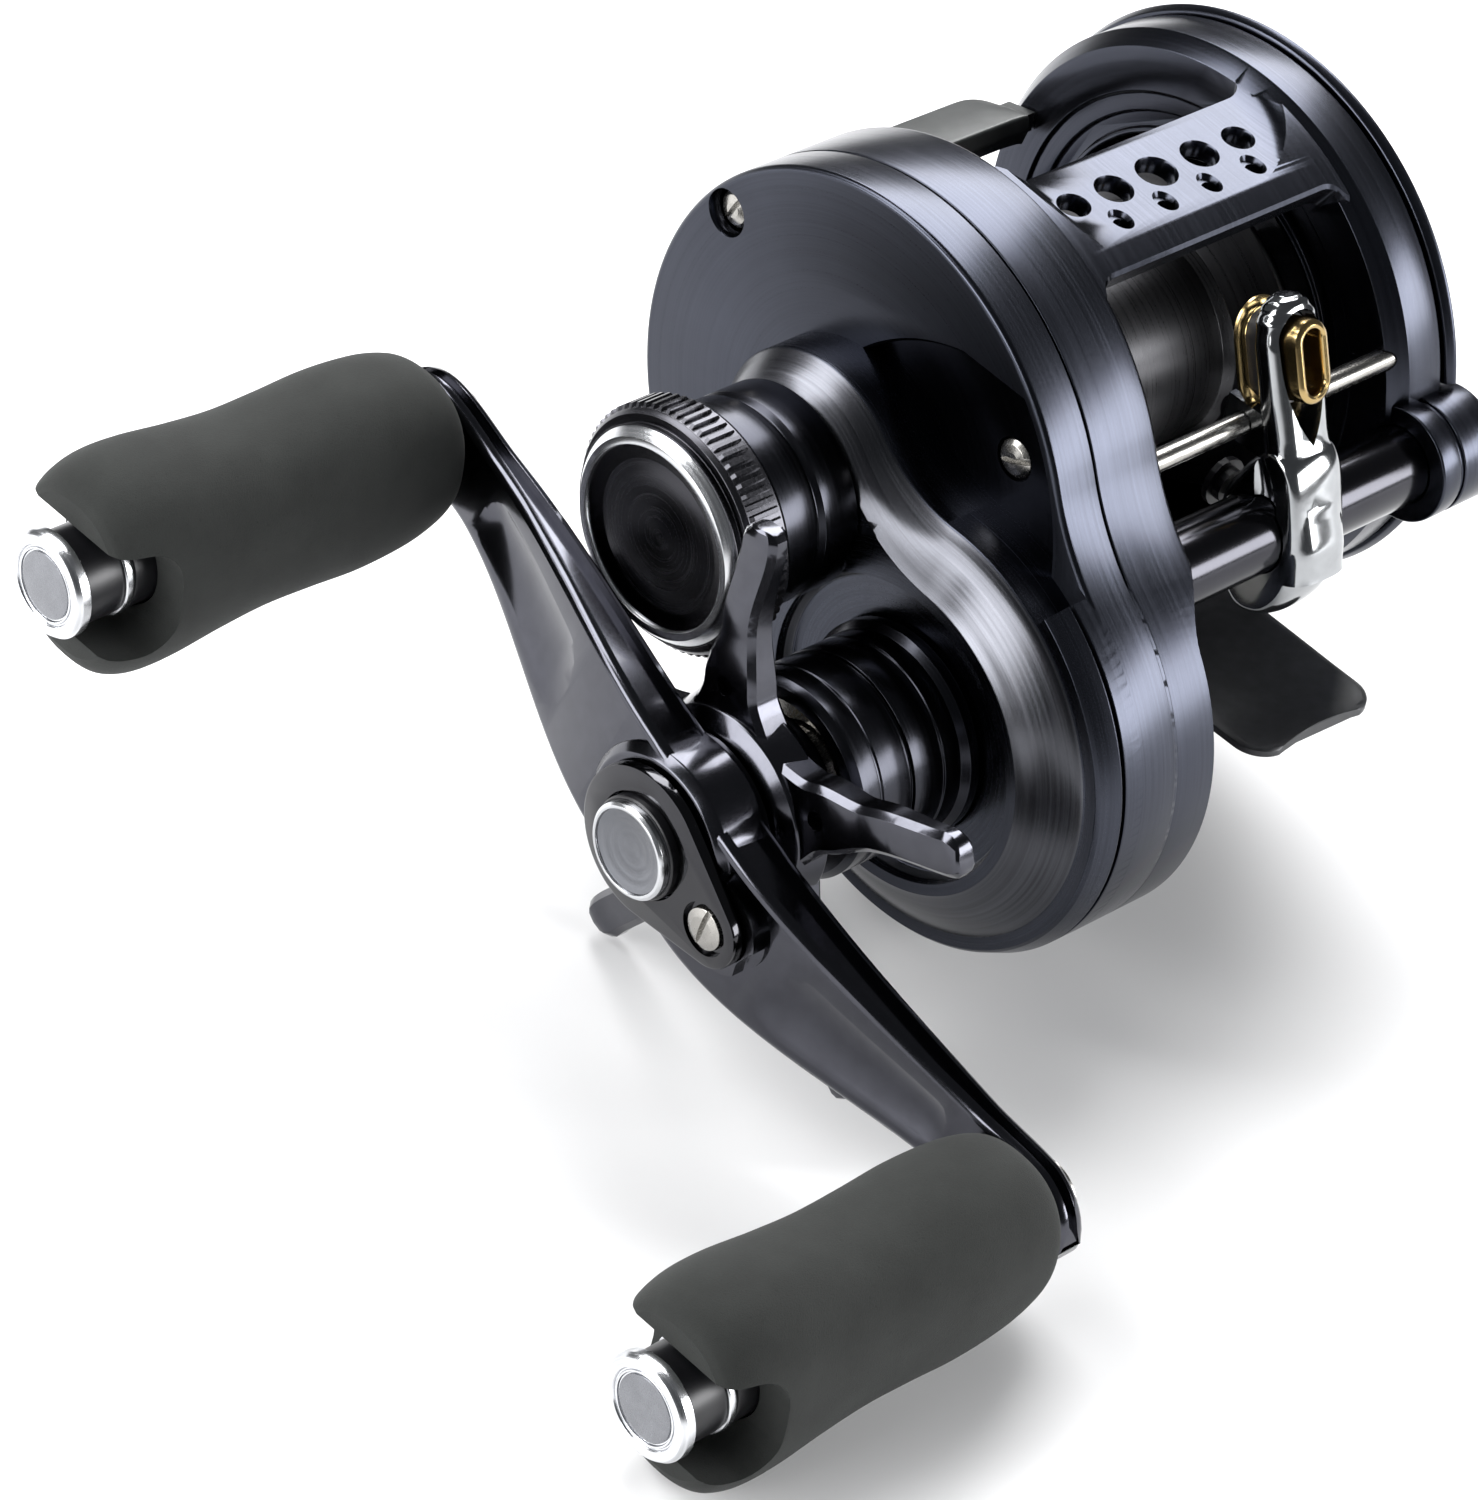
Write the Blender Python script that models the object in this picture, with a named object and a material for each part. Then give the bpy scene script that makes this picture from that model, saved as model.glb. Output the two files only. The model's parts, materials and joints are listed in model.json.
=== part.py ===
"""Round-frame baitcasting reel, right-hand crank.

Frame of the part: +X runs along the spool axis towards the palm side, -Y is the
side where the line leaves, +Z is up.  The origin is the middle of the flat land
under the foot, where the reel sits in a rod seat.  Inside this file the shapes
are drawn in millimetres round the spool axis and hung on one empty.
"""
import math

import bmesh
import bpy
from mathutils import Matrix, Vector

MM = 0.001

# Driving dimensions, in millimetres, measured from the spool axis.
SEAT_BELOW_AXIS = 20.4
GAP = 0.3
RUNNING_GAP = 0.1

CRANK = Vector((-16.6, -15.5))          # y, z of the crank shaft
WORM = Vector((-26.44, -0.19))          # y, z of the level-wind worm
ROD = Vector((-22.3, 8.55))             # y, z of the level-wind guide rod

RING_R = 25.6
BULGE_R = 22.3
BULGE_BACK = -17.6
HOUSING_R = 20.1
BULGE_FILLET = 25.0
RIM_WALL = 1.2

PALM_FACE = 14.7
HANDLE_FACE = -14.7
PALM_RING_END = 20.4
PALM_END = 21.6
DECK_TILT = math.radians(95.6)          # which way the perforated deck faces
DECK_HEIGHT = 24.0
DECK_ENDS = (-12.2, 10.0)
WEB_BACK = -18.2
FRAME_END = -22.0
PLATE_START = -22.3
PLATE_FLOOR = -23.6
PLATE_FACE = -26.7
BULGE_FACE = -28.2
HOUSING_RIM = -30.8
HOUSING_TOP = -34.0

SPOOL_FLANGE_R = 15.6
SPOOL_END = 13.9
SPOOL_DRUM_R = 10.0
SPOOL_SHAFT_R = 1.5

GEAR_TEETH = 63
PINION_TEETH = 9
GEAR_FRONT = -23.2
GEAR_BACK = -20.7
LEVEL_TEETH = 46
WORM_TEETH = 8
LEVEL_FRONT = -20.4
LEVEL_BACK = -19.4

DECK_BIG_HOLES = [(-10.6, 1.4), (-5.75, 1.65), (-0.55, 1.82), (4.75, 1.65), (9.55, 1.4)]
DECK_SMALL_HOLES = [-8.1, -2.7, 2.7, 8.1]
FOOT_X = 3.2                             # the foot's middle, towards the palm side
RIVET_Y = (-8.5, 8.5)
# Screws of the crank cover: y, z and how deep each head sits.
PLATE_SCREWS = [(18.4, 14.0, -23.7), (-16.6, 9.6, -23.1), (6.0, -22.0, -23.7)]

CRANK_SHAFT_R = 3.0
THROW = 42.0
ARM_TILT = math.radians(19.4)
ARM_OUTER = -60.7
ARM_HUB_INNER = -55.6
ARM_END_OUTER = -54.0
ARM_END_INNER = -51.3
CAP_END = -94.9

TUBE_R = 3.6
ROD_R = 1.0
GUIDE_X = -0.4

root = None


def clear_scene():
    for item in list(bpy.data.objects):
        bpy.data.objects.remove(item, do_unlink=True)


def make_material(name, colour, roughness, metallic):
    material = bpy.data.materials.new(name)
    material.use_nodes = True
    shader = material.node_tree.nodes["Principled BSDF"]
    shader.inputs["Base Color"].default_value = (*colour, 1.0)
    shader.inputs["Roughness"].default_value = roughness
    shader.inputs["Metallic"].default_value = metallic
    material.diffuse_color = (*colour, 1.0)
    return material


def mesh_from(bm):
    """Turn a bmesh in millimetres into a mesh in metres, faces outward."""
    bmesh.ops.recalc_face_normals(bm, faces=bm.faces)
    bmesh.ops.scale(bm, vec=(MM, MM, MM), verts=bm.verts)
    mesh = bpy.data.meshes.new("shape")
    bm.to_mesh(mesh)
    bm.free()
    return mesh


def place(name, mesh, material, pivot=(0.0, 0.0, 0.0)):
    """Name a solid, hang it on the root and put its origin on its pivot."""
    centre = Vector(pivot) * MM
    mesh.transform(Matrix.Translation(-centre))
    mesh.materials.clear()
    mesh.materials.append(material)
    mesh.name = name
    mesh.shade_smooth()
    mesh.set_sharp_from_angle(angle=math.radians(32))
    item = bpy.data.objects.new(name, mesh)
    bpy.context.scene.collection.objects.link(item)
    item.parent = root
    item.location = centre
    return item


def combine(base, others, operation, solver):
    """Apply one Boolean for each other mesh and give back the result."""
    holder = bpy.data.objects.new("holder", base)
    bpy.context.scene.collection.objects.link(holder)
    tools = []
    for other in others:
        tool = bpy.data.objects.new("tool", other)
        bpy.context.scene.collection.objects.link(tool)
        tool.hide_render = True
        tool.display_type = "WIRE"
        tools.append(tool)
        step = holder.modifiers.new("step", "BOOLEAN")
        step.operation = operation
        step.solver = solver
        step.object = tool
    graph = bpy.context.evaluated_depsgraph_get()
    result = bpy.data.meshes.new_from_object(holder.evaluated_get(graph))
    for item in tools + [holder]:
        bpy.data.objects.remove(item, do_unlink=True)
    return result


def cut(base, *others, solver="EXACT"):
    return combine(base, others, "DIFFERENCE", solver)


def join(base, *others, solver="EXACT"):
    return combine(base, others, "UNION", solver)


def loft(sections, capped=True):
    """Bridge closed loops of equal length, each a list of (x, y, z)."""
    bm = bmesh.new()
    loops = [[bm.verts.new(point) for point in section] for section in sections]
    count = len(loops[0])
    for first, second in zip(loops, loops[1:]):
        for index in range(count):
            after = (index + 1) % count
            bm.faces.new((first[index], first[after], second[after], second[index]))
    if capped:
        bm.faces.new(loops[0])
        bm.faces.new(list(reversed(loops[-1])))
    return mesh_from(bm)


def slab(outline, start, end):
    """A plate across X from an outline of (y, z) points."""
    return loft([[(x, y, z) for y, z in outline] for x in (start, end)])


def turned(profile, axis=(0.0, 0.0), sides=22):
    """Revolve (x, r) points round a line along X.

    A profile that starts and ends on the axis is a solid; any other is closed
    into a ring.
    """
    bm = bmesh.new()
    rings = []
    for x, radius in profile:
        if radius <= 0.0:
            rings.append([bm.verts.new((x, axis[0], axis[1]))])
            continue
        ring = []
        for index in range(sides):
            angle = math.tau * index / sides
            y = axis[0] + radius * math.cos(angle)
            z = axis[1] + radius * math.sin(angle)
            ring.append(bm.verts.new((x, y, z)))
        rings.append(ring)
    pairs = list(zip(rings, rings[1:]))
    if profile[0][1] > 0.0:
        pairs.append((rings[-1], rings[0]))
    for first, second in pairs:
        for index in range(sides):
            after = (index + 1) % sides
            if len(first) == 1:
                bm.faces.new((first[0], second[after], second[index]))
            elif len(second) == 1:
                bm.faces.new((first[index], first[after], second[0]))
            else:
                bm.faces.new((first[index], first[after], second[after], second[index]))
    return mesh_from(bm)


def rod(start, end, radius, axis=(0.0, 0.0), sides=16):
    return turned([(start, 0.0), (start, radius), (end, radius), (end, 0.0)], axis, sides)


def ring(start, end, inner, outer, axis=(0.0, 0.0), sides=20):
    profile = [(start, inner), (start, outer), (end, outer), (end, inner)]
    return turned(profile, axis, sides)


def box(low, high):
    bm = bmesh.new()
    bmesh.ops.create_cube(bm, size=1.0)
    for vert in bm.verts:
        for axis in range(3):
            middle = (low[axis] + high[axis]) / 2.0
            vert.co[axis] = middle + vert.co[axis] * (high[axis] - low[axis])
    return mesh_from(bm)


def polar(centre, radius, angle):
    return Vector((centre[0] + radius * math.cos(angle), centre[1] + radius * math.sin(angle)))


def arc(centre, radius, start, end, steps):
    return [polar(centre, radius, start + (end - start) * i / steps) for i in range(steps + 1)]


def lobes(main, bulge, fillet, steps=(26, 16, 4)):
    """Outline of a circle on the spool axis blended into one on the crank."""
    offset = CRANK.length
    heading = math.atan2(CRANK.y, CRANK.x)
    reach = main + fillet
    other = bulge + fillet
    swing = math.acos((reach ** 2 + offset ** 2 - other ** 2) / (2 * reach * offset))
    points = []
    centres = [polar((0.0, 0.0), reach, heading + side * swing) for side in (1.0, -1.0)]
    turns = [math.atan2(c.y - CRANK.y, c.x - CRANK.x) for c in centres]
    start = heading + swing
    end = heading - swing + math.tau
    points += arc((0.0, 0.0), main, start, end, steps[0])
    low = math.atan2(-centres[1].y, -centres[1].x)
    back = math.atan2(CRANK.y - centres[1].y, CRANK.x - centres[1].x)
    back = low + math.remainder(back - low, math.tau)
    points += arc(centres[1], fillet, low, back, steps[2])[1:]
    first = turns[1]
    span = (turns[0] - first) % math.tau
    points += arc(CRANK, bulge, first, first + span, steps[1])[1:]
    low = math.atan2(CRANK.y - centres[0].y, CRANK.x - centres[0].x)
    back = math.atan2(-centres[0].y, -centres[0].x)
    back = low + math.remainder(back - low, math.tau)
    points += arc(centres[0], fillet, low, back, steps[2])[1:-1]
    return points


def lobe_loft(levels, steps=(26, 16, 4)):
    """Loft of lobed outlines; each level is (x, main, bulge, fillet)."""
    sections = []
    for x, main, bulge, fillet in levels:
        sections.append([(x, p.x, p.y) for p in lobes(main, bulge, fillet, steps)])
    return loft(sections)


def gear(teeth, pitch_r, start, end, axis, phase, relief):
    """A spur gear; the teeth are trimmed by relief so that a pair runs free."""
    module = 2.0 * pitch_r / teeth
    tip = pitch_r + 0.9 * module
    foot = pitch_r - 1.2 * module
    pitch = math.tau / teeth
    wide = 0.33 * pitch - relief / foot
    narrow = 0.12 * pitch - relief / tip * 0.5
    outline = []
    for index in range(teeth):
        middle = phase + index * pitch
        outline.append(polar(axis, foot, middle - wide))
        outline.append(polar(axis, tip, middle - narrow))
        outline.append(polar(axis, tip, middle + narrow))
        outline.append(polar(axis, foot, middle + wide))
    return slab(outline, start, end)


def ease(value, low, high):
    share = min(max((value - low) / (high - low), 0.0), 1.0)
    return share * share * (3.0 - 2.0 * share)


def bulge_relief():
    """Cutter that thins the frame behind the crank bulge, outside the round ring."""
    sections = []
    for step in range(15):
        turn = math.radians(119.0 + 13.0 * step)
        out = polar((0.0, 0.0), 1.0, turn)
        along = CRANK.dot(out)
        reach = -along + math.sqrt(along ** 2 + RING_R ** 2 - CRANK.length_squared)
        back = HANDLE_FACE + 0.2 + (BULGE_BACK - HANDLE_FACE - 0.2) * ease(step, 0.0, 2.0)
        corners = [(back, reach), (back, reach + 14.0), (HANDLE_FACE + 1.5, reach + 14.0),
                   (HANDLE_FACE + 1.5, reach)]
        section = []
        for x, distance in corners:
            spot = CRANK + out * distance
            section.append((x, spot.x, spot.y))
        sections.append(section)
    return loft(sections)


def on_deck(forward, height):
    """A point of (y, z) on the tilted deck: distance forward and height above the axis."""
    up = polar((0.0, 0.0), 1.0, DECK_TILT)
    return up * height + Vector((-up.y, up.x)) * forward


def deck_recess():
    """Cutter above the flat deck, sloping up into the ring at either end."""
    low, high = DECK_ENDS
    sections = []
    for x, height in ((low - 4.0, 26.6), (low, DECK_HEIGHT), (high, DECK_HEIGHT),
                      (high + 2.4, 24.6), (high + 4.6, 26.0), (high + 6.4, 28.0)):
        corners = [on_deck(-8.0, height), on_deck(12.0, height), on_deck(12.0, 34.0),
                   on_deck(-8.0, 34.0)]
        sections.append([(x, p.x, p.y) for p in corners])
    return loft(sections)


def deck_hole(x, forward, radius, stretch=1.0):
    """A cutter square to the deck, drawn out along it by stretch."""
    bm = bmesh.new()
    bmesh.ops.create_cone(bm, cap_ends=True, segments=10, radius1=radius, radius2=radius,
                          depth=6.0)
    bmesh.ops.scale(bm, vec=(1.0, stretch, 1.0), verts=bm.verts)
    turn = Matrix.Rotation(DECK_TILT - math.pi / 2, 4, "X")
    spot = on_deck(forward, DECK_HEIGHT)
    bmesh.ops.transform(bm, matrix=Matrix.Translation((x, spot.x, spot.y)) @ turn, verts=bm.verts)
    return mesh_from(bm)


def build_frame(paint):
    """One-piece forging: both side rings and the bars between them."""
    handle = lobe_loft([(HANDLE_FACE, RING_R, BULGE_R, BULGE_FILLET),
                        (FRAME_END, RING_R, BULGE_R, BULGE_FILLET)])
    handle = cut(handle, bulge_relief())
    bearing_boss = rod(HANDLE_FACE - 0.4, WEB_BACK + 0.2, 7.0, CRANK, 20)
    palm = turned([(PALM_FACE, 16.4), (PALM_FACE, RING_R - 1.3), (PALM_FACE + 1.6, RING_R),
                   (PALM_RING_END, RING_R), (PALM_RING_END, 16.4)], sides=40)
    boss = rod(PALM_FACE + 0.35, 22.4, 5.4, WORM, 20)
    bar = []
    for x in (HANDLE_FACE - 1.0, PALM_FACE + 2.4):
        section = arc((0.0, 0.0), 25.5, math.radians(93), math.radians(121.5), 5)
        section += arc((0.0, 0.0), 22.4, math.radians(121.5), math.radians(93), 4)
        bar.append([(x, p.x, p.y) for p in section])
    plate = loft(bar)
    floor = box((HANDLE_FACE - 1.0, -12.5, -18.0), (PALM_FACE + 1.0, 12.5, -16.2))
    back = []
    for x in (HANDLE_FACE - 1.0, PALM_FACE + 1.0):
        section = arc((0.0, 0.0), 24.4, math.radians(-42), math.radians(-8), 4)
        section += arc((0.0, 0.0), 21.6, math.radians(-8), math.radians(-42), 4)
        back.append([(x, p.x, p.y) for p in section])
    spine = loft(back)
    body = join(handle, bearing_boss, palm, boss, plate, floor, spine)
    cavity = lobe_loft([(WEB_BACK, RING_R - 1.8, BULGE_R - RIM_WALL, BULGE_FILLET + 1.5),
                        (FRAME_END - 1.0, RING_R - 1.8, BULGE_R - RIM_WALL, BULGE_FILLET + 1.5)])
    holes = [cavity,
             deck_recess(),
             rod(HANDLE_FACE + 1.0, WEB_BACK - 1.0, 5.2),
             rod(HANDLE_FACE + 1.0, -16.4, 16.2, sides=32),
             rod(HANDLE_FACE + 1.0, WEB_BACK - 1.0, 5.2, CRANK),
             rod(HANDLE_FACE + 1.0, WEB_BACK - 1.0, TUBE_R + RUNNING_GAP, WORM),
             rod(WEB_BACK + 0.1, FRAME_END - 1.0, 3.6, WORM, 20),
             rod(PALM_FACE - 1.0, 23.0, TUBE_R + RUNNING_GAP, WORM, 20),
             rod(HANDLE_FACE + 1.0, -17.2, ROD_R + RUNNING_GAP, ROD, 16),
             rod(PALM_FACE - 1.0, 17.2, ROD_R + RUNNING_GAP, ROD, 16)]
    for x, radius in DECK_BIG_HOLES:
        holes.append(deck_hole(x, 3.3, radius))
    for x in DECK_SMALL_HOLES:
        holes.append(deck_hole(x, 6.6, 0.85, 1.3))
    for y in RIVET_Y:
        holes.append(upright(FOOT_X, y, -19.0, -15.0, 1.3))
    body = cut(body, *holes, solver="MANIFOLD")
    place("frame", body, paint)


def upright(x, y, low, high, radius, sides=12):
    bm = bmesh.new()
    bmesh.ops.create_cone(bm, cap_ends=True, segments=sides, radius1=radius, radius2=radius,
                          depth=high - low)
    bmesh.ops.translate(bm, vec=(x, y, (low + high) / 2.0), verts=bm.verts)
    return mesh_from(bm)


def build_foot(black, steel):
    """Blade with a flat land below and a crowned top, thinner at both tips."""
    stations = [(-33.8, 5.4, 0.9), (-33.2, 6.8, 1.0), (-31.6, 7.7, 1.1), (-18.0, 7.8, 1.5),
                (-12.6, 7.8, 2.0), (12.6, 7.8, 2.0), (20.0, 7.6, 1.5), (31.0, 7.2, 1.1),
                (32.8, 6.4, 0.9), (33.4, 5.2, 0.9)]
    base = -SEAT_BELOW_AXIS
    sections = []
    for y, half, thick in stations:
        top = base + thick
        outline = [(-half, base), (half, base), (half, top - 0.5 * thick),
                   (half * 0.6, top - 0.1 * thick), (0.0, top), (-half * 0.6, top - 0.1 * thick),
                   (-half, top - 0.5 * thick)]
        sections.append([(FOOT_X + x, y, z) for x, z in outline])
    body = loft(sections)
    holes = [upright(FOOT_X, y, base - 3.0, base + 5.0, 1.3) for y in RIVET_Y]
    body = cut(body, *holes)
    place("reel_foot", body, black)
    for label, y in zip(("front", "rear"), RIVET_Y):
        place("foot_rivet_" + label, upright(FOOT_X, y, base + 0.4, -16.5, 1.15), steel)


def build_palm_side(paint, dark, steel):
    plate = turned([(17.6, 4.2), (17.6, 8.0), (18.3, 8.0), (18.3, 13.2), (17.6, 13.2),
                    (17.6, 16.1), (PALM_RING_END + GAP, 16.1), (PALM_RING_END + GAP, RING_R + 0.3),
                    (PALM_END, RING_R + 0.8), (PALM_END + 0.7, RING_R), (23.2, 19.0),
                    (23.8, 8.0), (23.8, 6.6), (22.0, 6.6),
                    (22.0, 5.2), (19.4, 5.2), (19.4, 4.2)], sides=40)
    notch = rod(15.0, 26.0, 5.8, WORM, 24)
    body = cut(plate, notch)
    place("palm_side_plate", body, paint)
    place("brake_race", ring(15.6, 18.0, 8.6, 9.6), steel)
    place("palm_bearing", ring(19.7, 21.7, SPOOL_SHAFT_R + RUNNING_GAP, 5.0, sides=20), steel)
    dial = turned([(22.3, 0.0), (22.3, 6.3), (24.6, 6.3), (25.2, 5.7), (25.2, 0.0)], sides=28)
    place("brake_dial", dial, dark)
    place("worm_end_cap", rod(19.5, 22.2, 3.4, WORM, 20), dark)


def build_side_plate(paint, steel):
    """Cover of the crank side: flat round face, bulge and scalloped pocket."""
    body = lobe_loft([(PLATE_START, RING_R, BULGE_R, BULGE_FILLET),
                      (PLATE_FACE + 0.5, RING_R, BULGE_R, BULGE_FILLET),
                      (PLATE_FACE, RING_R - 0.5, BULGE_R - 0.5, BULGE_FILLET + 0.5)])
    drum = turned([(PLATE_START - 1.2, 0.0), (PLATE_START - 1.2, BULGE_R - 0.02),
                   (BULGE_FACE, BULGE_R - 0.02), (BULGE_FACE, 0.0)], CRANK, 40)
    body = join(body, cut(drum, bulge_sector(BULGE_FACE - 1.0, PLATE_FACE)))
    cavity = lobe_loft([(PLATE_START + 1.0, RING_R - 1.8, BULGE_R - RIM_WALL, BULGE_FILLET + 1.5),
                        (PLATE_FLOOR, RING_R - 1.8, BULGE_R - RIM_WALL, BULGE_FILLET + 1.5)])
    throat = lobe_loft([(PLATE_FLOOR + 1.0, 5.0, 17.8, 12.0), (BULGE_FACE - 1.0, 5.0, 17.8, 12.0)],
                       (10, 18, 3))
    tools = [cavity, throat, pocket_cutter()]
    for y, z, deep in PLATE_SCREWS:
        tools.append(rod(deep - 0.9, PLATE_FACE - 3.0, 2.0, (y, z), 14))
    body = cut(body, *tools)
    place("handle_side_plate", body, paint)
    for index, (y, z, deep) in enumerate(PLATE_SCREWS):
        name = "plate_screw_%d" % (index + 1)
        dome = turned([(deep - 1.2, 0.0), (deep - 1.2, 1.7), (deep - 1.7, 1.7),
                       (deep - 2.1, 1.2), (deep - 2.3, 0.0)], (y, z), 12)
        slot = box((deep - 3.0, y - 0.22, z - 2.2), (deep - 1.8, y + 0.22, z + 2.2))
        place(name, cut(dome, slot), steel)


def bulge_sector(start, end):
    """Cutter over the side of the bulge that faces the spool axis, outside the gear box cap."""
    low = math.radians(-75.0)
    high = math.radians(122.0)
    outline = arc(CRANK, HOUSING_R + 0.05, high, low, 18)
    outline += arc(CRANK, HOUSING_R + 14.0, low, high, 12)
    return slab(outline, start, end)


def pocket_cutter():
    """Crescent pocket above the housing wall, inside a thin outer lip."""
    crescent = arc((0.0, 0.0), RING_R - 1.3, math.radians(173.5), math.radians(136.0), 12)
    crescent += arc((-15.0, -3.0), 20.6, math.radians(77.0), math.radians(42.0), 8)
    crescent += [Vector((-1.0, 3.0)), Vector((-9.0, -4.0)), Vector((-20.0, -4.0))]
    return slab(crescent, -25.0, PLATE_FACE - 1.0)


def build_gear_housing(paint):
    """Raised gear box cap with a wide conical rim round the crank and spool."""
    body = lobe_loft([(PLATE_FACE - GAP, 11.0, HOUSING_R, 14.0),
                      (HOUSING_RIM, 11.0, HOUSING_R, 14.0),
                      (HOUSING_TOP, 8.4, 15.3, 16.5)], (14, 24, 5))
    skirt = turned([(BULGE_FACE - GAP, 0.0), (BULGE_FACE - GAP, BULGE_R - 0.1),
                    (HOUSING_RIM + 0.4, BULGE_R - 0.7), (HOUSING_RIM + 0.1, BULGE_R - 1.1),
                    (HOUSING_RIM + 0.1, 0.0)], CRANK, 40)
    body = join(body, cut(skirt, bulge_sector(HOUSING_RIM - 1.0, BULGE_FACE)))
    inside = lobe_loft([(PLATE_FACE + 1.0, 4.4, 17.0, 12.0), (-31.6, 4.4, 14.0, 12.0)],
                       (10, 18, 3))
    seat = rod(-20.0, BULGE_FACE - GAP, BULGE_R + GAP, CRANK, 32)
    recess = turned([(-29.0, 0.0), (-29.0, 6.2), (-32.6, 6.2), (-32.6, 13.4),
                     (HOUSING_TOP - 1.0, 14.2), (HOUSING_TOP - 1.0, 0.0)], CRANK, 28)
    body = cut(body, seat, inside, recess,
               rod(-25.0, HOUSING_TOP - 1.0, 5.7, (0.0, 0.0), 24), solver="MANIFOLD")
    place("gear_housing", body, paint)


def build_crank_side(dark, steel, brass, carbon):
    """Everything that sits on the crank axis inside the covers."""
    sleeve = turned([(-32.9, 7.4), (-32.9, 9.8), (-33.9, 9.8), (-34.5, 9.2), (-39.8, 9.2),
                     (-39.8, 8.9), (-40.4, 8.9), (-40.4, 9.2), (-45.6, 9.2), (-46.2, 8.6),
                     (-46.2, 7.4)], CRANK, 26)
    place("clutch_housing", sleeve, dark)
    place("roller_clutch", ring(-43.8, -33.4, 4.5, 7.1, CRANK, 20), steel)
    place("clutch_tube", ring(-45.8, -29.6, CRANK_SHAFT_R + RUNNING_GAP, 4.2, CRANK, 24), steel)
    shaft = turned([(-16.0, 0.0), (-16.0, 2.0), (-18.4, 2.0), (-18.4, CRANK_SHAFT_R),
                    (-61.6, CRANK_SHAFT_R), (-61.6, 0.0)], CRANK, 20)
    place("drive_shaft", shaft, steel)
    place("shaft_bearing", ring(-17.9, -15.4, 2.0 + RUNNING_GAP, 4.9, CRANK, 20), steel)
    ratio_r = CRANK.length / (GEAR_TEETH + PINION_TEETH)
    wheel = gear(GEAR_TEETH, ratio_r * GEAR_TEETH, GEAR_FRONT, GEAR_BACK, CRANK, gear_phase(), 0.06)
    cup = rod(GEAR_FRONT - 1.0, GEAR_BACK - 0.9, 13.0, CRANK, 32)
    bore = rod(GEAR_FRONT - 1.0, GEAR_BACK + 1.0, CRANK_SHAFT_R + RUNNING_GAP, CRANK, 20)
    place("drive_gear", cut(wheel, cup, bore), brass)
    bore_r = CRANK_SHAFT_R + RUNNING_GAP
    place("drag_washer", ring(-22.6, -21.9, bore_r, 12.6, CRANK, 32), carbon)
    place("drag_key_washer", ring(-23.9, -22.9, bore_r, 12.6, CRANK, 32), steel)
    place("drag_spring_washer", turned([(-24.2, bore_r), (-25.6, 7.0), (-26.2, 7.0),
                                        (-24.8, bore_r)], CRANK, 32), steel)
    place("drag_nut", ring(-49.2, -46.6, bore_r, 5.2, CRANK, 20), brass)
    level_r = (WORM - CRANK).length / (LEVEL_TEETH + WORM_TEETH)
    wheel = gear(LEVEL_TEETH, level_r * LEVEL_TEETH, LEVEL_FRONT, LEVEL_BACK, CRANK,
                 level_phase(), 0.05)
    bore = rod(LEVEL_FRONT - 1.0, LEVEL_BACK + 1.0, CRANK_SHAFT_R + RUNNING_GAP, CRANK, 20)
    place("level_wind_gear", cut(wheel, bore), carbon)


def gear_phase():
    """Turn the wheel so that a tooth gap faces a pinion tooth on the centre line."""
    towards = math.atan2(-CRANK.y, -CRANK.x)
    return towards + math.pi / GEAR_TEETH


def level_phase():
    offset = WORM - CRANK
    return math.atan2(offset.y, offset.x) + math.pi / LEVEL_TEETH


def build_spool(dark, steel, brass, fibre):
    profile = [(-SPOOL_END, 1.65), (-SPOOL_END, 8.0), (-13.6, 12.0), (-13.2, SPOOL_FLANGE_R),
               (-12.4, SPOOL_FLANGE_R), (-11.6, 12.4), (-9.8, SPOOL_DRUM_R),
               (9.8, SPOOL_DRUM_R),
               (11.6, 12.4), (12.4, SPOOL_FLANGE_R), (13.2, SPOOL_FLANGE_R), (13.6, 12.0),
               (SPOOL_END, 8.0), (SPOOL_END, 1.65)]
    place("spool", turned(profile, sides=28), dark)
    place("spool_shaft", rod(-46.0, 21.9, SPOOL_SHAFT_R, sides=14), steel)
    place("brake_hub", ring(14.2, 17.2, 1.65, 7.4, sides=24), fibre)
    place("spool_bearing", ring(-18.0, -15.0, 1.65, 5.0, sides=20), steel)
    ratio_r = CRANK.length / (GEAR_TEETH + PINION_TEETH)
    heading = math.atan2(CRANK.y, CRANK.x)
    cogs = gear(PINION_TEETH, ratio_r * PINION_TEETH, -23.3, -20.5, (0.0, 0.0), heading, 0.06)
    neck = turned([(-20.6, 0.0), (-20.6, 2.2), (-19.5, 2.2), (-19.5, 3.2), (-18.5, 3.2),
                   (-18.5, 0.0)], sides=24)
    pinion = cut(join(cogs, neck), rod(-24.0, -18.0, 1.7, sides=16))
    place("pinion_gear", pinion, brass)
    arm_low = box((-20.3, 1.6, -4.4), (-19.8, 16.0, -2.5))
    arm_high = box((-20.3, -2.0, 2.5), (-19.8, 16.0, 4.4))
    spine = box((-20.3, 9.0, -4.4), (-19.8, 16.0, 4.4))
    place("pinion_yoke", join(arm_low, arm_high, spine), steel)


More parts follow.
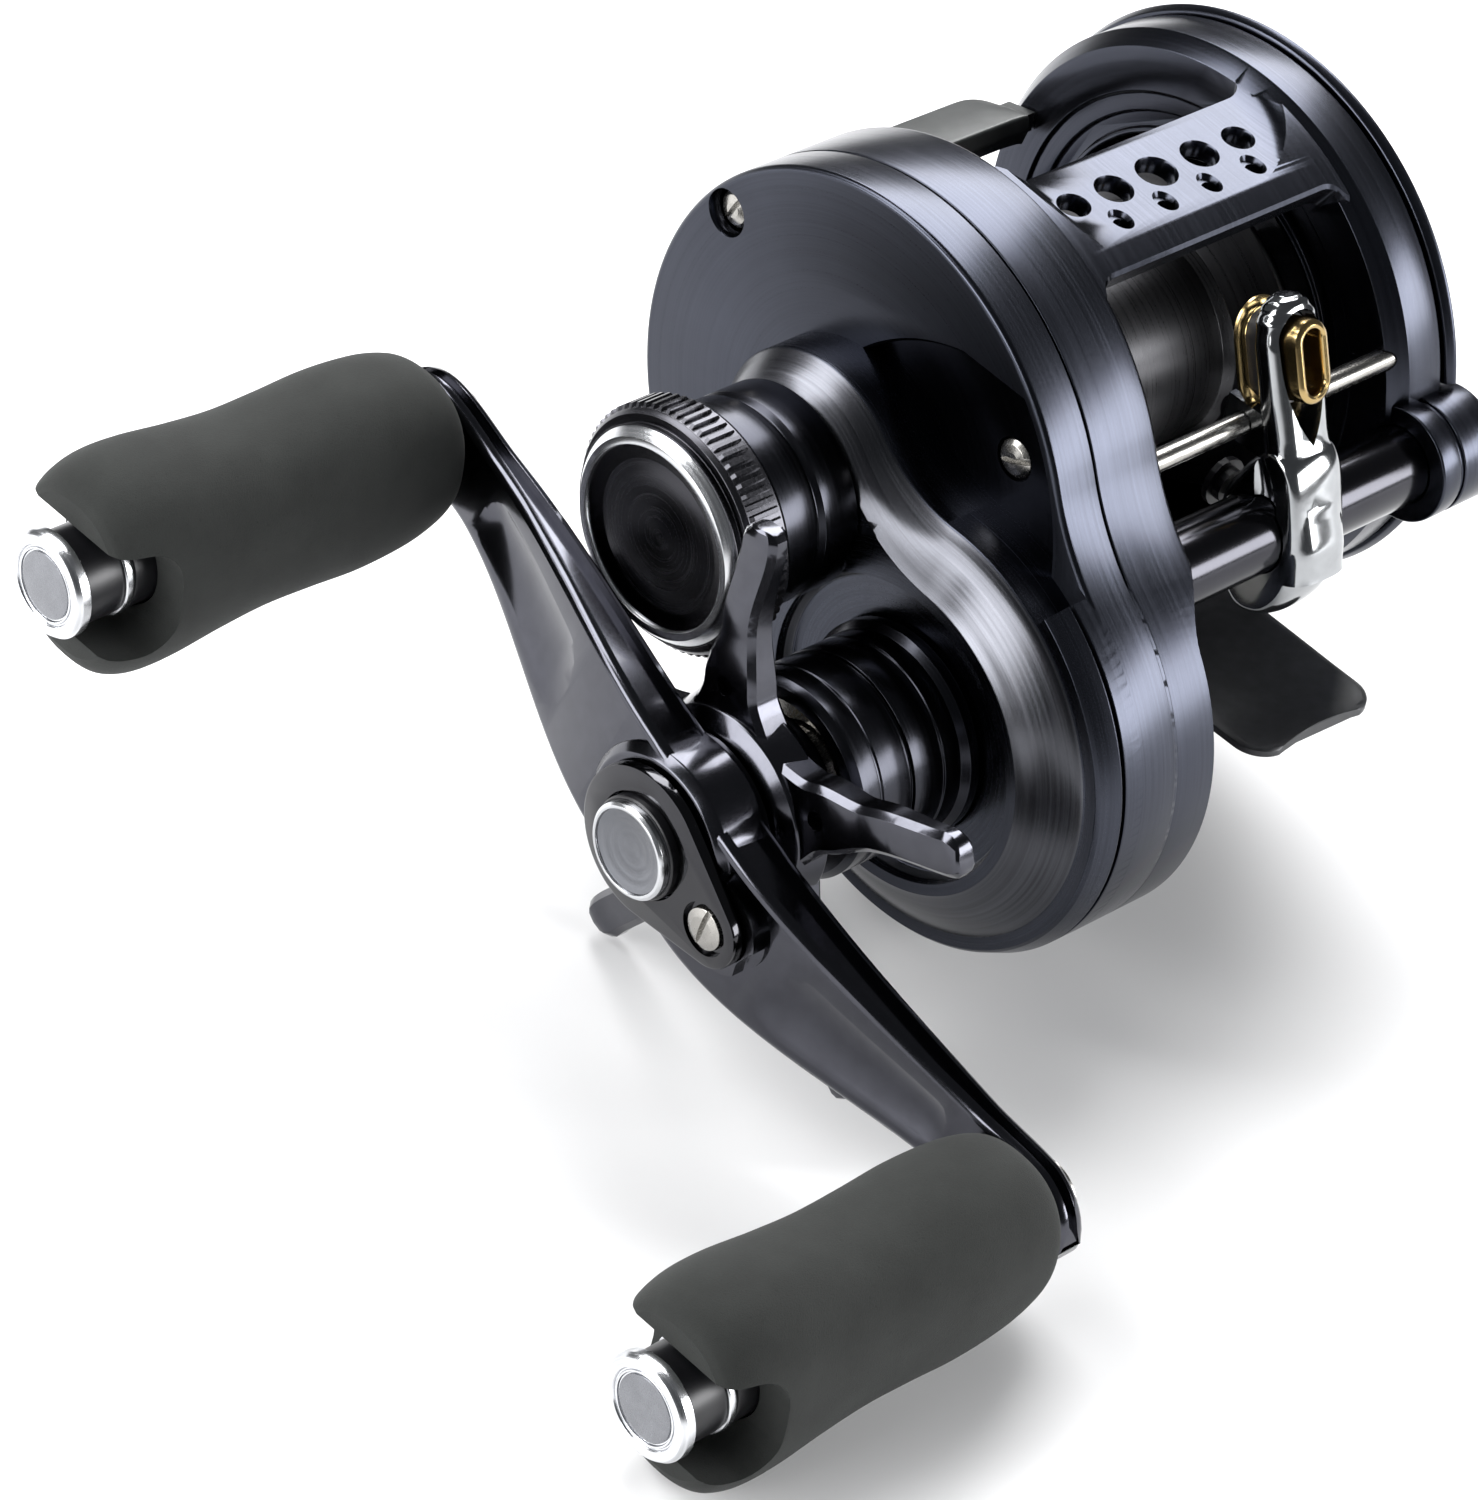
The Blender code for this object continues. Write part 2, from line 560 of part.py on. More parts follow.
def build_cast_control(dark, paint, steel):
    post = turned([(-31.5, 4.4), (-31.5, 5.4), (-34.3, 5.4), (-34.3, 9.3), (-38.0, 9.3),
                   (-38.4, 8.8), (-39.0, 9.3), (-42.8, 9.3), (-42.8, 7.4), (-46.0, 7.4),
                   (-46.0, 6.0), (-41.7, 6.0), (-41.7, 4.4)])
    place("cast_control_post", post, dark)
    cap = [(-43.4, 7.7), (-43.4, 10.9), (-43.8, 11.24), (-47.4, 11.24), (-47.7, 10.7),
           (-47.7, 9.7), (-48.2, 9.7), (-48.4, 9.9), (-49.2, 8.98), (-49.2, 8.3), (-48.2, 8.2),
           (-47.6, 0.0)]
    inner = [(-46.4, 0.0), (-46.4, 7.7)]
    place("cast_control_knob", turned(inner + cap, sides=30), paint)
    place("cast_bearing", ring(-45.6, -42.0, 1.6, 5.7, sides=20), steel)


def along_arm(distance, sideways=0.0):
    """A point of (y, z) at a distance along the handle arm from the crank."""
    out = Vector((math.cos(ARM_TILT), math.sin(ARM_TILT)))
    side = Vector((-out.y, out.x))
    return CRANK + out * distance + side * sideways


def arm_sections():
    """Cross-sections of the swept arm from one rounded end to the other."""
    sections = []
    reach = THROW + 5.2
    stations = [-reach, -reach + 0.6, -reach + 2.2, -THROW + 1.0, -34.0, -26.0, -18.0, -10.0, 0.0]
    stations += [-value for value in reversed(stations[:-1])]
    for s in stations:
        away = abs(s)
        hub = 1.0 - ease(away, 5.0, 40.0)
        half = 4.3 + 3.2 * hub
        tip = away - (THROW - 0.5)
        if tip > 0.0:
            half = 5.0 * math.sqrt(max(1.0 - (tip / 6.0) ** 2, 0.03))
        half = min(half, 4.3 + 3.2 * hub + 0.7 * ease(away, 34.0, THROW))
        outer = ARM_END_OUTER + (ARM_OUTER - ARM_END_OUTER) * hub
        inner = ARM_END_INNER + (ARM_HUB_INNER - ARM_END_INNER) * hub
        sweep = 1.3 * math.sin(math.pi * s / THROW) * (1.0 if away < THROW else 0.0)
        edge = min(1.2, 0.42 * half)
        corners = [(-half, inner - edge), (-half, outer + edge), (-half + edge, outer),
                   (half - edge, outer), (half, outer + edge), (half, inner - edge),
                   (half - edge, inner), (-half + edge, inner)]
        section = []
        for across, x in corners:
            spot = along_arm(s, across + sweep)
            section.append((x, spot.x, spot.y))
        sections.append(section)
    return sections


def build_handle(gloss, dark, steel, foam, silver):
    arm = loft(arm_sections())
    hub = turned([(-61.0, 0.0), (-61.0, 7.6), (-60.2, 8.4), (-56.0, 8.6), (-55.0, 8.0),
                  (-55.0, 0.0)], CRANK, 32)
    lug = rod(-61.1, -57.0, 4.6, along_arm(-8.9), 20)
    bores = [rod(-70.0, -50.0, CRANK_SHAFT_R + RUNNING_GAP, CRANK, 20)]
    bores.append(rod(-70.0, -59.4, 1.5, along_arm(-8.9), 16))
    for side in (1.0, -1.0):
        bores.append(rod(-70.0, -45.0, 2.5, along_arm(side * THROW), 20))
    arm = cut(join(arm, hub, lug), *bores)
    place("handle_arm", arm, gloss, (0.0, CRANK.x, CRANK.y))
    nut = turned([(-64.0, 0.0), (-64.0, 4.0), (-63.7, 4.34), (-61.3, 4.34), (-61.3, 3.3),
                  (-61.9, 3.3), (-61.9, 0.0)], CRANK, 32)
    place("handle_nut", nut, silver)
    plate = slab(teardrop(), -61.4, -62.4)
    plate = cut(plate, rod(-70.0, -50.0, 4.7, CRANK, 24),
                rod(-70.0, -61.9, 2.3, along_arm(-8.9), 16),
                rod(-70.0, -60.0, 1.3, along_arm(-8.9), 16))
    place("nut_retainer", plate, dark)
    spot = along_arm(-8.9)
    head = turned([(-59.7, 0.0), (-59.7, 1.15), (-62.0, 1.15), (-62.0, 2.0), (-62.5, 1.8),
                   (-62.8, 0.0)], (spot.x, spot.y), 16)
    slot = box((-63.5, spot.x - 0.22, spot.y - 2.5), (-62.35, spot.x + 0.22, spot.y + 2.5))
    place("retainer_screw", cut(head, slot), steel)
    for label, side in (("rear", 1.0), ("front", -1.0)):
        build_knob(label, along_arm(side * THROW), foam, steel, silver)


def teardrop():
    """Outline round the nut drawn out to the lug that holds the screw."""
    far = 8.9
    lug = 3.6
    body = 7.1
    tilt = math.asin((body - lug) / far)
    start = ARM_TILT + math.pi
    points = arc(CRANK, body, start + math.pi / 2 - tilt, start + math.tau - math.pi / 2 + tilt, 14)
    points += arc(along_arm(-far), lug, start - math.pi / 2 + tilt, start + math.pi / 2 - tilt, 8)
    return points


def knob_section(x, height, width, centre, sides=20):
    """Superellipse with its long way up."""
    section = []
    for index in range(sides):
        angle = math.tau * index / sides
        c, s = math.cos(angle), math.sin(angle)
        y = width * math.copysign(abs(c) ** 0.85, c)
        z = height * math.copysign(abs(s) ** 0.85, s)
        section.append((x, centre[0] + y, centre[1] + z))
    return section


def build_knob(label, spot, foam, steel, silver):
    axis = (spot.x, spot.y)
    post = turned([(-50.3, 0.0), (-50.3, 3.4), (-51.0, 3.4), (-51.0, 2.4), (-54.1, 2.4),
                   (-54.1, 2.0), (-88.0, 2.0), (-88.0, 0.0)], axis, 16)
    place("knob_shaft_" + label, post, steel, (0.0, spot.x, spot.y))
    shape = [(-54.4, 5.6, 5.2), (-55.2, 6.9, 6.2), (-59.0, 8.6, 6.9), (-66.0, 9.5, 7.4),
             (-76.0, 10.0, 7.6), (-85.0, 9.8, 7.6), (-90.0, 8.7, 7.3), (-92.4, 6.4, 6.2)]
    body = loft([knob_section(x, height, width, spot) for x, height, width in shape])
    bore = turned([(-50.0, 0.0), (-50.0, 2.2), (-55.6, 2.2), (-55.6, 4.4), (-58.0, 4.4),
                   (-58.0, 2.2), (-83.0, 2.2), (-83.0, 4.3), (-96.0, 4.3), (-96.0, 0.0)],
                  axis, 24)
    slot = box((-96.0, spot.x - 12.0, spot.y - 5.2), (-86.6, spot.x + 12.0, spot.y + 5.2))
    place("handle_knob_" + label, cut(body, bore, slot), foam, (0.0, spot.x, spot.y))
    place("knob_bearing_" + label, ring(-57.7, -55.9, 2.1, 4.2, axis, 20), steel)
    cap = turned([(-83.3, 0.0), (-83.3, 4.1), (-88.9, 4.1), (-88.9, 4.35), (-89.7, 4.35),
                  (-89.7, 4.1), (-93.6, 4.1), (-93.6, 4.7), (-94.7, 4.7), (CAP_END, 4.5),
                  (CAP_END, 3.4), (-94.6, 3.3), (-94.6, 0.0)], axis, 18)
    room = rod(-80.0, -88.3, 2.2, axis, 20)
    place("knob_cap_" + label, cut(cap, room), silver)


def star_arm(angle):
    """One tapered, swept and raised arm of the star wheel."""
    sections = []
    for r, half, mid, thick, swirl in ((7.0, 4.6, -51.3, 3.4, 0.0), (11.5, 3.2, -51.4, 3.2, 0.0),
                                       (17.0, 2.1, -51.2, 2.8, 0.03), (25.6, 2.0, -50.8, 2.2, 0.08),
                                       (26.7, 1.0, -50.8, 1.6, 0.09)):
        heading = angle + swirl
        centre = polar(CRANK, r, heading)
        across = Vector((-math.sin(heading), math.cos(heading)))
        edge = 0.3 * half
        section = []
        for w, x in ((-half, -thick / 2 + edge), (-half, thick / 2 - edge),
                     (-half + edge, thick / 2), (half - edge, thick / 2),
                     (half, thick / 2 - edge), (half, -thick / 2 + edge),
                     (half - edge, -thick / 2), (-half + edge, -thick / 2)):
            spot = centre + across * w
            section.append((mid + x, spot.x, spot.y))
        sections.append(section)
    return loft(sections)


def build_star(gloss):
    bore_r = CRANK_SHAFT_R + RUNNING_GAP
    hub = turned([(-54.4, bore_r), (-54.4, 7.6), (-53.4, 9.2), (-50.4, 9.8), (-49.3, 9.0),
                  (-49.3, 6.6), (-46.5, 6.6), (-46.5, 5.4), (-49.6, 5.4), (-49.6, bore_r)],
                 CRANK, 25)
    arms = [star_arm(math.radians(79.0 + 72.0 * index)) for index in range(5)]
    bores = []
    for index in range(5):
        spot = polar(CRANK, 11.6, math.radians(79.0 + 72.0 * index))
        bores.append(rod(-60.0, -51.6, 0.9, spot, 8))
    place("star_drag", cut(join(hub, *arms), *bores), gloss, (0.0, CRANK.x, CRANK.y))


def build_level_wind(chrome, gold, dark, steel):
    tube = ring(-18.0, 18.9, 2.6, TUBE_R, WORM, 28)
    slit = box((-12.5, WORM.x + 0.5, WORM.y - 1.1), (12.8, WORM.x + 6.0, WORM.y + 1.1))
    place("worm_tube", cut(tube, slit), dark)
    place("guide_rod", rod(-17.0, 17.0, ROD_R, ROD, 16), steel)
    profile = [(-20.6, 0.0), (-20.6, 1.2), (-17.6, 1.2), (-17.6, 2.2)]
    x = -13.0
    while x < 13.0:
        profile += [(x, 2.2), (x + 0.6, 1.75), (x + 1.6, 1.75), (x + 2.2, 2.2)]
        x += 6.0
    profile += [(17.6, 2.2), (17.6, 1.6), (18.8, 1.6), (18.8, 0.0)]
    place("worm_shaft", turned(profile, WORM, 14), steel)
    level_r = (WORM - CRANK).length / (LEVEL_TEETH + WORM_TEETH)
    offset = CRANK - WORM
    phase = math.atan2(offset.y, offset.x)
    cog = gear(WORM_TEETH, level_r * WORM_TEETH, LEVEL_FRONT, LEVEL_BACK, WORM, phase, 0.05)
    bore = rod(LEVEL_FRONT - 1.0, LEVEL_BACK + 1.0, 1.3, WORM, 20)
    place("worm_gear", cut(cog, bore), dark)
    collar = rod(GUIDE_X - 3.4, GUIDE_X + 3.4, 5.1, WORM, 32)
    stem = []
    top = Vector((-21.4, 20.6))
    foot = Vector((WORM.x - 3.4, WORM.y))
    heading = (top - foot).normalized()
    back = Vector((-heading.y, heading.x))
    if back.x < 0:
        back = -back
    length = (top - foot).length
    for share, half, deep in ((0.0, 3.3, 2.4), (0.22, 3.25, 2.2), (0.45, 3.2, 1.9),
                              (0.7, 3.4, 1.8), (0.88, 3.2, 1.7), (0.96, 2.4, 1.5),
                              (1.0, 1.4, 1.2)):
        middle = foot + heading * (length * share)
        section = []
        for across, depth in ((-half, -deep * 0.4), (-half * 0.6, -deep), (half * 0.6, -deep),
                              (half, -deep * 0.4), (half, deep), (-half, deep)):
            spot = middle + back * depth
            section.append((GUIDE_X + across, spot.x, spot.y))
        stem.append(section)
    bridge = box((GUIDE_X - 2.8, WORM.x - 2.0, ROD.y - 2.2),
                 (GUIDE_X + 2.8, ROD.x + 2.2, ROD.y + 2.2))
    base = box((GUIDE_X - 2.9, WORM.x + 2.0, WORM.y - 2.6),
               (GUIDE_X + 2.9, WORM.x + 6.2, WORM.y + 2.6))
    chin = box((GUIDE_X - 3.1, WORM.x - 3.4, WORM.y - 8.0),
               (GUIDE_X + 3.1, WORM.x + 1.6, WORM.y - 3.2))
    body = join(loft(stem), collar, bridge, base, chin, solver="MANIFOLD")
    turn = Matrix(((1, 0, 0), (0, back.x, heading.x), (0, back.y, heading.y))).to_4x4()
    window = foot + heading * (length * 0.685)
    slot = oblong(2.3, 5.6, 8.0, turn, Vector((GUIDE_X, window.x, window.y)))
    eye = foot + heading * (length * 0.745)
    place_at = Vector((GUIDE_X, eye.x, eye.y))
    body = cut(body, slot, rod(-10.0, 12.0, TUBE_R + RUNNING_GAP, WORM, 32),
               rod(-10.0, 12.0, ROD_R + RUNNING_GAP, ROD, 16),
               along_y(2.0, 9.0, 1.7), solver="MANIFOLD")
    place("line_guide", body, chrome)
    outer = oblong(2.0, 4.0, 3.4, turn, place_at)
    inner = oblong(1.2, 3.2, 6.0, turn, place_at)
    place("line_guide_eye", cut(outer, inner), gold)
    place("guide_pawl", along_y(2.9, 5.3, 0.95), steel)
    place("pawl_cap", join(along_y(5.5, 6.4, 1.6), along_y(6.3, 6.9, 2.3)), dark)


def oblong(half_width, half_height, depth, turn, centre):
    """A flat-sided oval prism facing along the guide's own depth."""
    bm = bmesh.new()
    flat = half_height - half_width
    points = arc((0.0, flat), half_width, 0.0, math.pi, 9)
    points += arc((0.0, -flat), half_width, math.pi, math.tau, 9)
    loops = []
    for y in (-depth / 2, depth / 2):
        loops.append([bm.verts.new((p.x, y, p.y)) for p in points])
    count = len(points)
    for index in range(count):
        after = (index + 1) % count
        bm.faces.new((loops[0][index], loops[0][after], loops[1][after], loops[1][index]))
    bm.faces.new(loops[0])
    bm.faces.new(list(reversed(loops[1])))
    bmesh.ops.transform(bm, matrix=Matrix.Translation(centre) @ turn, verts=bm.verts)
    return mesh_from(bm)


def along_y(start, end, radius, sides=16):
    """A rod that runs along Y through the worm axis."""
    bm = bmesh.new()
    bmesh.ops.create_cone(bm, cap_ends=True, segments=sides, radius1=radius, radius2=radius,
                          depth=end - start)
    bmesh.ops.rotate(bm, cent=(0, 0, 0), matrix=Matrix.Rotation(math.pi / 2, 3, "X"),
                     verts=bm.verts)
    bmesh.ops.translate(bm, vec=(GUIDE_X, WORM.x + (start + end) / 2, WORM.y), verts=bm.verts)
    return mesh_from(bm)


def build_thumb_bar(dark, steel):
    """Flat pad behind the spool, on a tab at either end."""
    pad = [(20.2, 9.9), (26.2, 8.7), (27.0, 7.9), (26.6, 6.6), (23.0, 6.1), (20.4, 6.7),
           (19.6, 8.6)]
    tab = [(20.8, 9.2), (24.0, 8.5), (24.0, 7.0), (20.8, 7.2)]
    bar = join(slab([Vector(p) for p in pad], -12.5, 12.5),
               slab([Vector(p) for p in tab], -14.3, 14.3))
    place("thumb_bar", bar, dark)
    cam = ring(-19.1, -18.5, 7.0, 9.4)
    place("clutch_cam", cam, steel)


def build_part():
    clear_scene()
    global root
    root = bpy.data.objects.new("spool_axis", None)
    bpy.context.scene.collection.objects.link(root)
    root.location = (-FOOT_X * MM, 0.0, SEAT_BELOW_AXIS * MM)
    paint = make_material("anodised_body", (0.045, 0.048, 0.062), 0.30, 1.0)
    gloss = make_material("gloss_gunmetal", (0.10, 0.10, 0.115), 0.18, 1.0)
    dark = make_material("black_anodised", (0.012, 0.012, 0.015), 0.25, 0.8)
    black = make_material("matt_black", (0.02, 0.02, 0.022), 0.45, 0.2)
    steel = make_material("steel", (0.62, 0.62, 0.62), 0.25, 1.0)
    silver = make_material("machined_silver", (0.72, 0.73, 0.75), 0.2, 1.0)
    chrome = make_material("chrome", (0.85, 0.86, 0.87), 0.06, 1.0)
    gold = make_material("gold_insert", (0.65, 0.45, 0.16), 0.18, 1.0)
    brass = make_material("brass", (0.62, 0.46, 0.2), 0.3, 1.0)
    carbon = make_material("fibre", (0.03, 0.03, 0.03), 0.6, 0.0)
    foam = make_material("foam_grip", (0.055, 0.06, 0.058), 0.85, 0.0)
    build_frame(paint)
    build_foot(black, steel)
    build_palm_side(paint, dark, steel)
    build_side_plate(paint, steel)
    build_gear_housing(paint)
    build_crank_side(dark, steel, brass, carbon)
    build_spool(dark, steel, brass, carbon)
    build_cast_control(dark, paint, steel)
    build_star(gloss)
    build_handle(gloss, dark, steel, foam, silver)
    build_level_wind(chrome, gold, dark, steel)
    build_thumb_bar(dark, steel)


build_part()
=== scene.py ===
"""Looks of a round-frame baitcasting reel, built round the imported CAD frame.

Everything is drawn in millimetres from the spool axis and moved into the frame's
own metres at the end of each piece.  The axes of the spool, crank, worm and knobs
come from the frame's joints.
"""
import json
import math

import bmesh
import bpy
from mathutils import Matrix, Vector


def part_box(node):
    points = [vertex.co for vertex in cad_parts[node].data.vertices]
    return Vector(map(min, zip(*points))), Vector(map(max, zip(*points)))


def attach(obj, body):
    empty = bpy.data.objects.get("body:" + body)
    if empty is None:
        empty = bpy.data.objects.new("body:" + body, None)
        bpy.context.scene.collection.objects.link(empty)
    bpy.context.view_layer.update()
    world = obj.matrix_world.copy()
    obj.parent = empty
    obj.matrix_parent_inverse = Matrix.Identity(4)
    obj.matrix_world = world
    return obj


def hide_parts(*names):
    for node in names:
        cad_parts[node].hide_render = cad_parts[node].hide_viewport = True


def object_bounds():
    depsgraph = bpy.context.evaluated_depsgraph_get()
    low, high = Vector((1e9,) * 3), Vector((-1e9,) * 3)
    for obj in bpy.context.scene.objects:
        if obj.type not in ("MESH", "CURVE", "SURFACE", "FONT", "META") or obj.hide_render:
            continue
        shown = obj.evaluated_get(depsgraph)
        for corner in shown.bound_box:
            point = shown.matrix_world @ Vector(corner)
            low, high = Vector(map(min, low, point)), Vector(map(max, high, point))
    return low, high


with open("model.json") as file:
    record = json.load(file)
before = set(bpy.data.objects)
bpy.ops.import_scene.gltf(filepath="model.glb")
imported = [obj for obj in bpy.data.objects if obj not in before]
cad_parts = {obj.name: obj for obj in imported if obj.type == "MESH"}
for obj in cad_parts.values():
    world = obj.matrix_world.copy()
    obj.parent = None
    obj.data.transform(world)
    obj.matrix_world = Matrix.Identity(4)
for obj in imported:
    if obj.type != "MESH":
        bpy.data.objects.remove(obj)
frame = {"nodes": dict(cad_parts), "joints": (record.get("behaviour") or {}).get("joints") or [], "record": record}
cad_low, cad_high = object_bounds()

MM = 0.001
JOINTS = {joint["name"]: joint for joint in frame["joints"]}
SHIFT = Vector(JOINTS["spool_spin"]["pos_m"])


def joint_axis(name):
    """The (y, z) of a joint's axis in millimetres from the spool axis."""
    spot = Vector(JOINTS[name]["pos_m"]) - SHIFT
    return Vector((spot.y, spot.z)) / MM


AXIS = Vector((0.0, 0.0))
CRANK = joint_axis("crank_turn")
WORM = joint_axis("worm_spin")
KNOB_FRONT = joint_axis("knob_front_spin")
KNOB_REAR = joint_axis("knob_rear_spin")


def span(node, axis):
    """Lowest and highest place of a CAD node along one axis, in local millimetres."""
    low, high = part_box(node)
    return (low[axis] - SHIFT[axis]) / MM, (high[axis] - SHIFT[axis]) / MM


def middle(node, axis):
    low, high = span(node, axis)
    return (low + high) / 2.0


ROD = Vector((middle("guide_rod", 1), middle("guide_rod", 2)))
GUIDE_X = middle("line_guide", 0)
THROW = (KNOB_REAR - CRANK).length
ARM_TILT = math.atan2(KNOB_REAR.y - CRANK.y, KNOB_REAR.x - CRANK.x)

# Radii of the rings, and places of the body's faces along X.
RING_R = 25.6
BULGE_R = 22.3
BULGE_FILLET = 25.0
HOUSING_R = 20.1
WALL = 1.2
PALM_END = 21.6
PALM_RING_END = 20.4
PALM_FACE = 14.7
HANDLE_FACE = -14.7
BULGE_BACK = -17.6
SEAM = -22.05
PLATE_FACE = -26.7
BULGE_FACE = -28.2
HOUSING_RIM = -30.8
HOUSING_TOP = -34.0
SHAFT_HOLE_R = 5.2
TUBE_HOLE_R = 3.7
ROD_HOLE_R = 1.1
FOOT_X = middle("reel_foot", 0)
RIVET_Y = 8.5
RIVET_HOLE_R = 1.3
# The perforated front rest: its tilt, its height, and its holes as (x, radius).
DECK_TILT = math.radians(95.6)
DECK_HEIGHT = 24.0
DECK_BIG_HOLES = [(-10.6, 1.4), (-5.75, 1.65), (-0.55, 1.82), (4.75, 1.65), (9.55, 1.4)]
DECK_SMALL_HOLES = [-8.1, -2.7, 2.7, 8.1]
# Distance from the crank to the screw of the nut's lock plate.
LOCK_FAR = 8.9
# Powers below 1 that draw a round section out towards a square.
GRIP_SQUARE = 0.88
GUIDE_SQUARE = 0.75


# ---------------------------------------------------------------- mesh tools

SHARP_ANGLE = math.radians(34)
BEVEL_ANGLE = math.radians(30)
FLAT_ANGLE = math.radians(0.6)
MERGE_DISTANCE = 0.002
STRAIGHT = math.radians(168)


def mesh_from(bm):
    bmesh.ops.recalc_face_normals(bm, faces=bm.faces)
    mesh = bpy.data.meshes.new("shape")
    bm.to_mesh(mesh)
    bm.free()
    return mesh


def combine(base, others, operation):
    """One mesh from a Boolean of a base with each of the others in turn."""
    holder = bpy.data.objects.new("holder", base)
    bpy.context.scene.collection.objects.link(holder)
    tools = []
    for other in others:
        tool = bpy.data.objects.new("tool", other)
        bpy.context.scene.collection.objects.link(tool)
        tools.append(tool)
        step = holder.modifiers.new("step", "BOOLEAN")
        step.operation = operation
        step.solver = "MANIFOLD"
        step.object = tool
    graph = bpy.context.evaluated_depsgraph_get()
    result = bpy.data.meshes.new_from_object(holder.evaluated_get(graph))
    for item in tools + [holder]:
        bpy.data.objects.remove(item, do_unlink=True)
    return result


def cut(base, *others):
    return combine(base, others, "DIFFERENCE")


def join(base, *others):
    return combine(base, others, "UNION")


def loft(sections, hoop=False):
    """Bridge closed loops of (x, y, z), and cap both ends or close them into a hoop."""
    bm = bmesh.new()
    loops = [[bm.verts.new(point) for point in section] for section in sections]
    count = len(loops[0])
    for first, second in zip(loops, loops[1:] + (loops[:1] if hoop else [])):
        for index in range(count):
            after = (index + 1) % count
            bm.faces.new((first[index], first[after], second[after], second[index]))
    if not hoop:
        bm.faces.new(loops[0])
        bm.faces.new(list(reversed(loops[-1])))
    return mesh_from(bm)


def slab(outline, start, end):
    """A flat plate between two places along X, from (y, z) points."""
    return loft([[(x, y, z) for y, z in outline] for x in (start, end)])


def rounded(profile, radius=0.15, steps=3, closed=False):
    """Replace each corner of an (x, r) profile by a small arc."""
    count = len(profile)
    points = []
    for index, spot in enumerate(profile):
        here = Vector(spot)
        inner = closed or 0 < index < count - 1
        if not inner:
            points.append(tuple(here))
            continue
        before = Vector(profile[index - 1]) - here
        after = Vector(profile[(index + 1) % count]) - here
        if before.length < 1e-6 or after.length < 1e-6:
            continue
        bend = before.angle(after)
        if bend > STRAIGHT:
            points.append(tuple(here))
            continue
        reach = min(radius / math.tan(bend / 2), 0.45 * before.length, 0.45 * after.length)
        start = here + before.normalized() * reach
        end = here + after.normalized() * reach
        for step in range(steps + 1):
            t = step / steps
            spot = start * (1 - t) ** 2 + here * (2 * t * (1 - t)) + end * t ** 2
            points.append(tuple(spot))
    return points


def turned(profile, axis=AXIS, sides=96, radius=0.15, steps=3):
    """Revolve (x, r) points round a line along X, with softened corners.

    A profile that starts and ends on the axis is a solid; any other is closed
    into a ring.
    """
    closed = profile[0][1] > 0.0
    if radius > 0.0:
        profile = rounded(profile, radius, steps, closed)
    bm = bmesh.new()
    rings = []
    for x, r in profile:
        if r <= 1e-6:
            rings.append([bm.verts.new((x, axis[0], axis[1]))])
            continue
        ring_verts = []
        for index in range(sides):
            angle = math.tau * index / sides
            y = axis[0] + r * math.cos(angle)
            z = axis[1] + r * math.sin(angle)
            ring_verts.append(bm.verts.new((x, y, z)))
        rings.append(ring_verts)
    pairs = list(zip(rings, rings[1:]))
    if closed:
        pairs.append((rings[-1], rings[0]))
    for first, second in pairs:
        for index in range(sides):
            after = (index + 1) % sides
            if len(first) == 1:
                bm.faces.new((first[0], second[after], second[index]))
            elif len(second) == 1:
                bm.faces.new((first[index], first[after], second[0]))
            else:
                bm.faces.new((first[index], first[after], second[after], second[index]))
    return mesh_from(bm)


def rod(start, end, r, axis=AXIS, sides=48):
    return turned([(start, 0.0), (start, r), (end, r), (end, 0.0)], axis, sides, 0.0)


def ring(start, end, inner, outer, axis=AXIS, sides=72, radius=0.15):
    profile = [(start, inner), (start, outer), (end, outer), (end, inner)]
    return turned(profile, axis, sides, radius)


def box(low, high):
    bm = bmesh.new()
    bmesh.ops.create_cube(bm, size=1.0)
    for vert in bm.verts:
        for axis in range(3):
            centre = (low[axis] + high[axis]) / 2.0
            vert.co[axis] = centre + vert.co[axis] * (high[axis] - low[axis])
    return mesh_from(bm)


def polar(centre, r, angle):
    return Vector((centre[0] + r * math.cos(angle), centre[1] + r * math.sin(angle)))


def arc(centre, r, start, end, steps):
    return [polar(centre, r, start + (end - start) * i / steps) for i in range(steps + 1)]


def ease(value, low, high):
    """Smooth step from 0 to 1 between two values."""
    share = min(max((value - low) / (high - low), 0.0), 1.0)
    return share * share * (3.0 - 2.0 * share)


def corner_pull(reach, corner):
    """How far a rounded corner draws a side in, at a distance from the end."""
    if reach >= corner:
        return 0.0
    return corner - math.sqrt(max(corner ** 2 - (corner - max(reach, 0.0)) ** 2, 0.0))


def squared(angle, power):
    """Cosine and sine of an angle on a circle drawn out towards a square."""
    pair = (math.cos(angle), math.sin(angle))
    return [math.copysign(abs(value) ** power, value) for value in pair]


def curve_at(table, value):
    """Smooth reading of a table of (place, numbers...) rows."""
    if value <= table[0][0]:
        return table[0][1:]
    for low, high in zip(table, table[1:]):
        if value <= high[0]:
            share = ease(value, low[0], high[0])
            return tuple(a + (b - a) * share for a, b in zip(low[1:], high[1:]))
    return table[-1][1:]


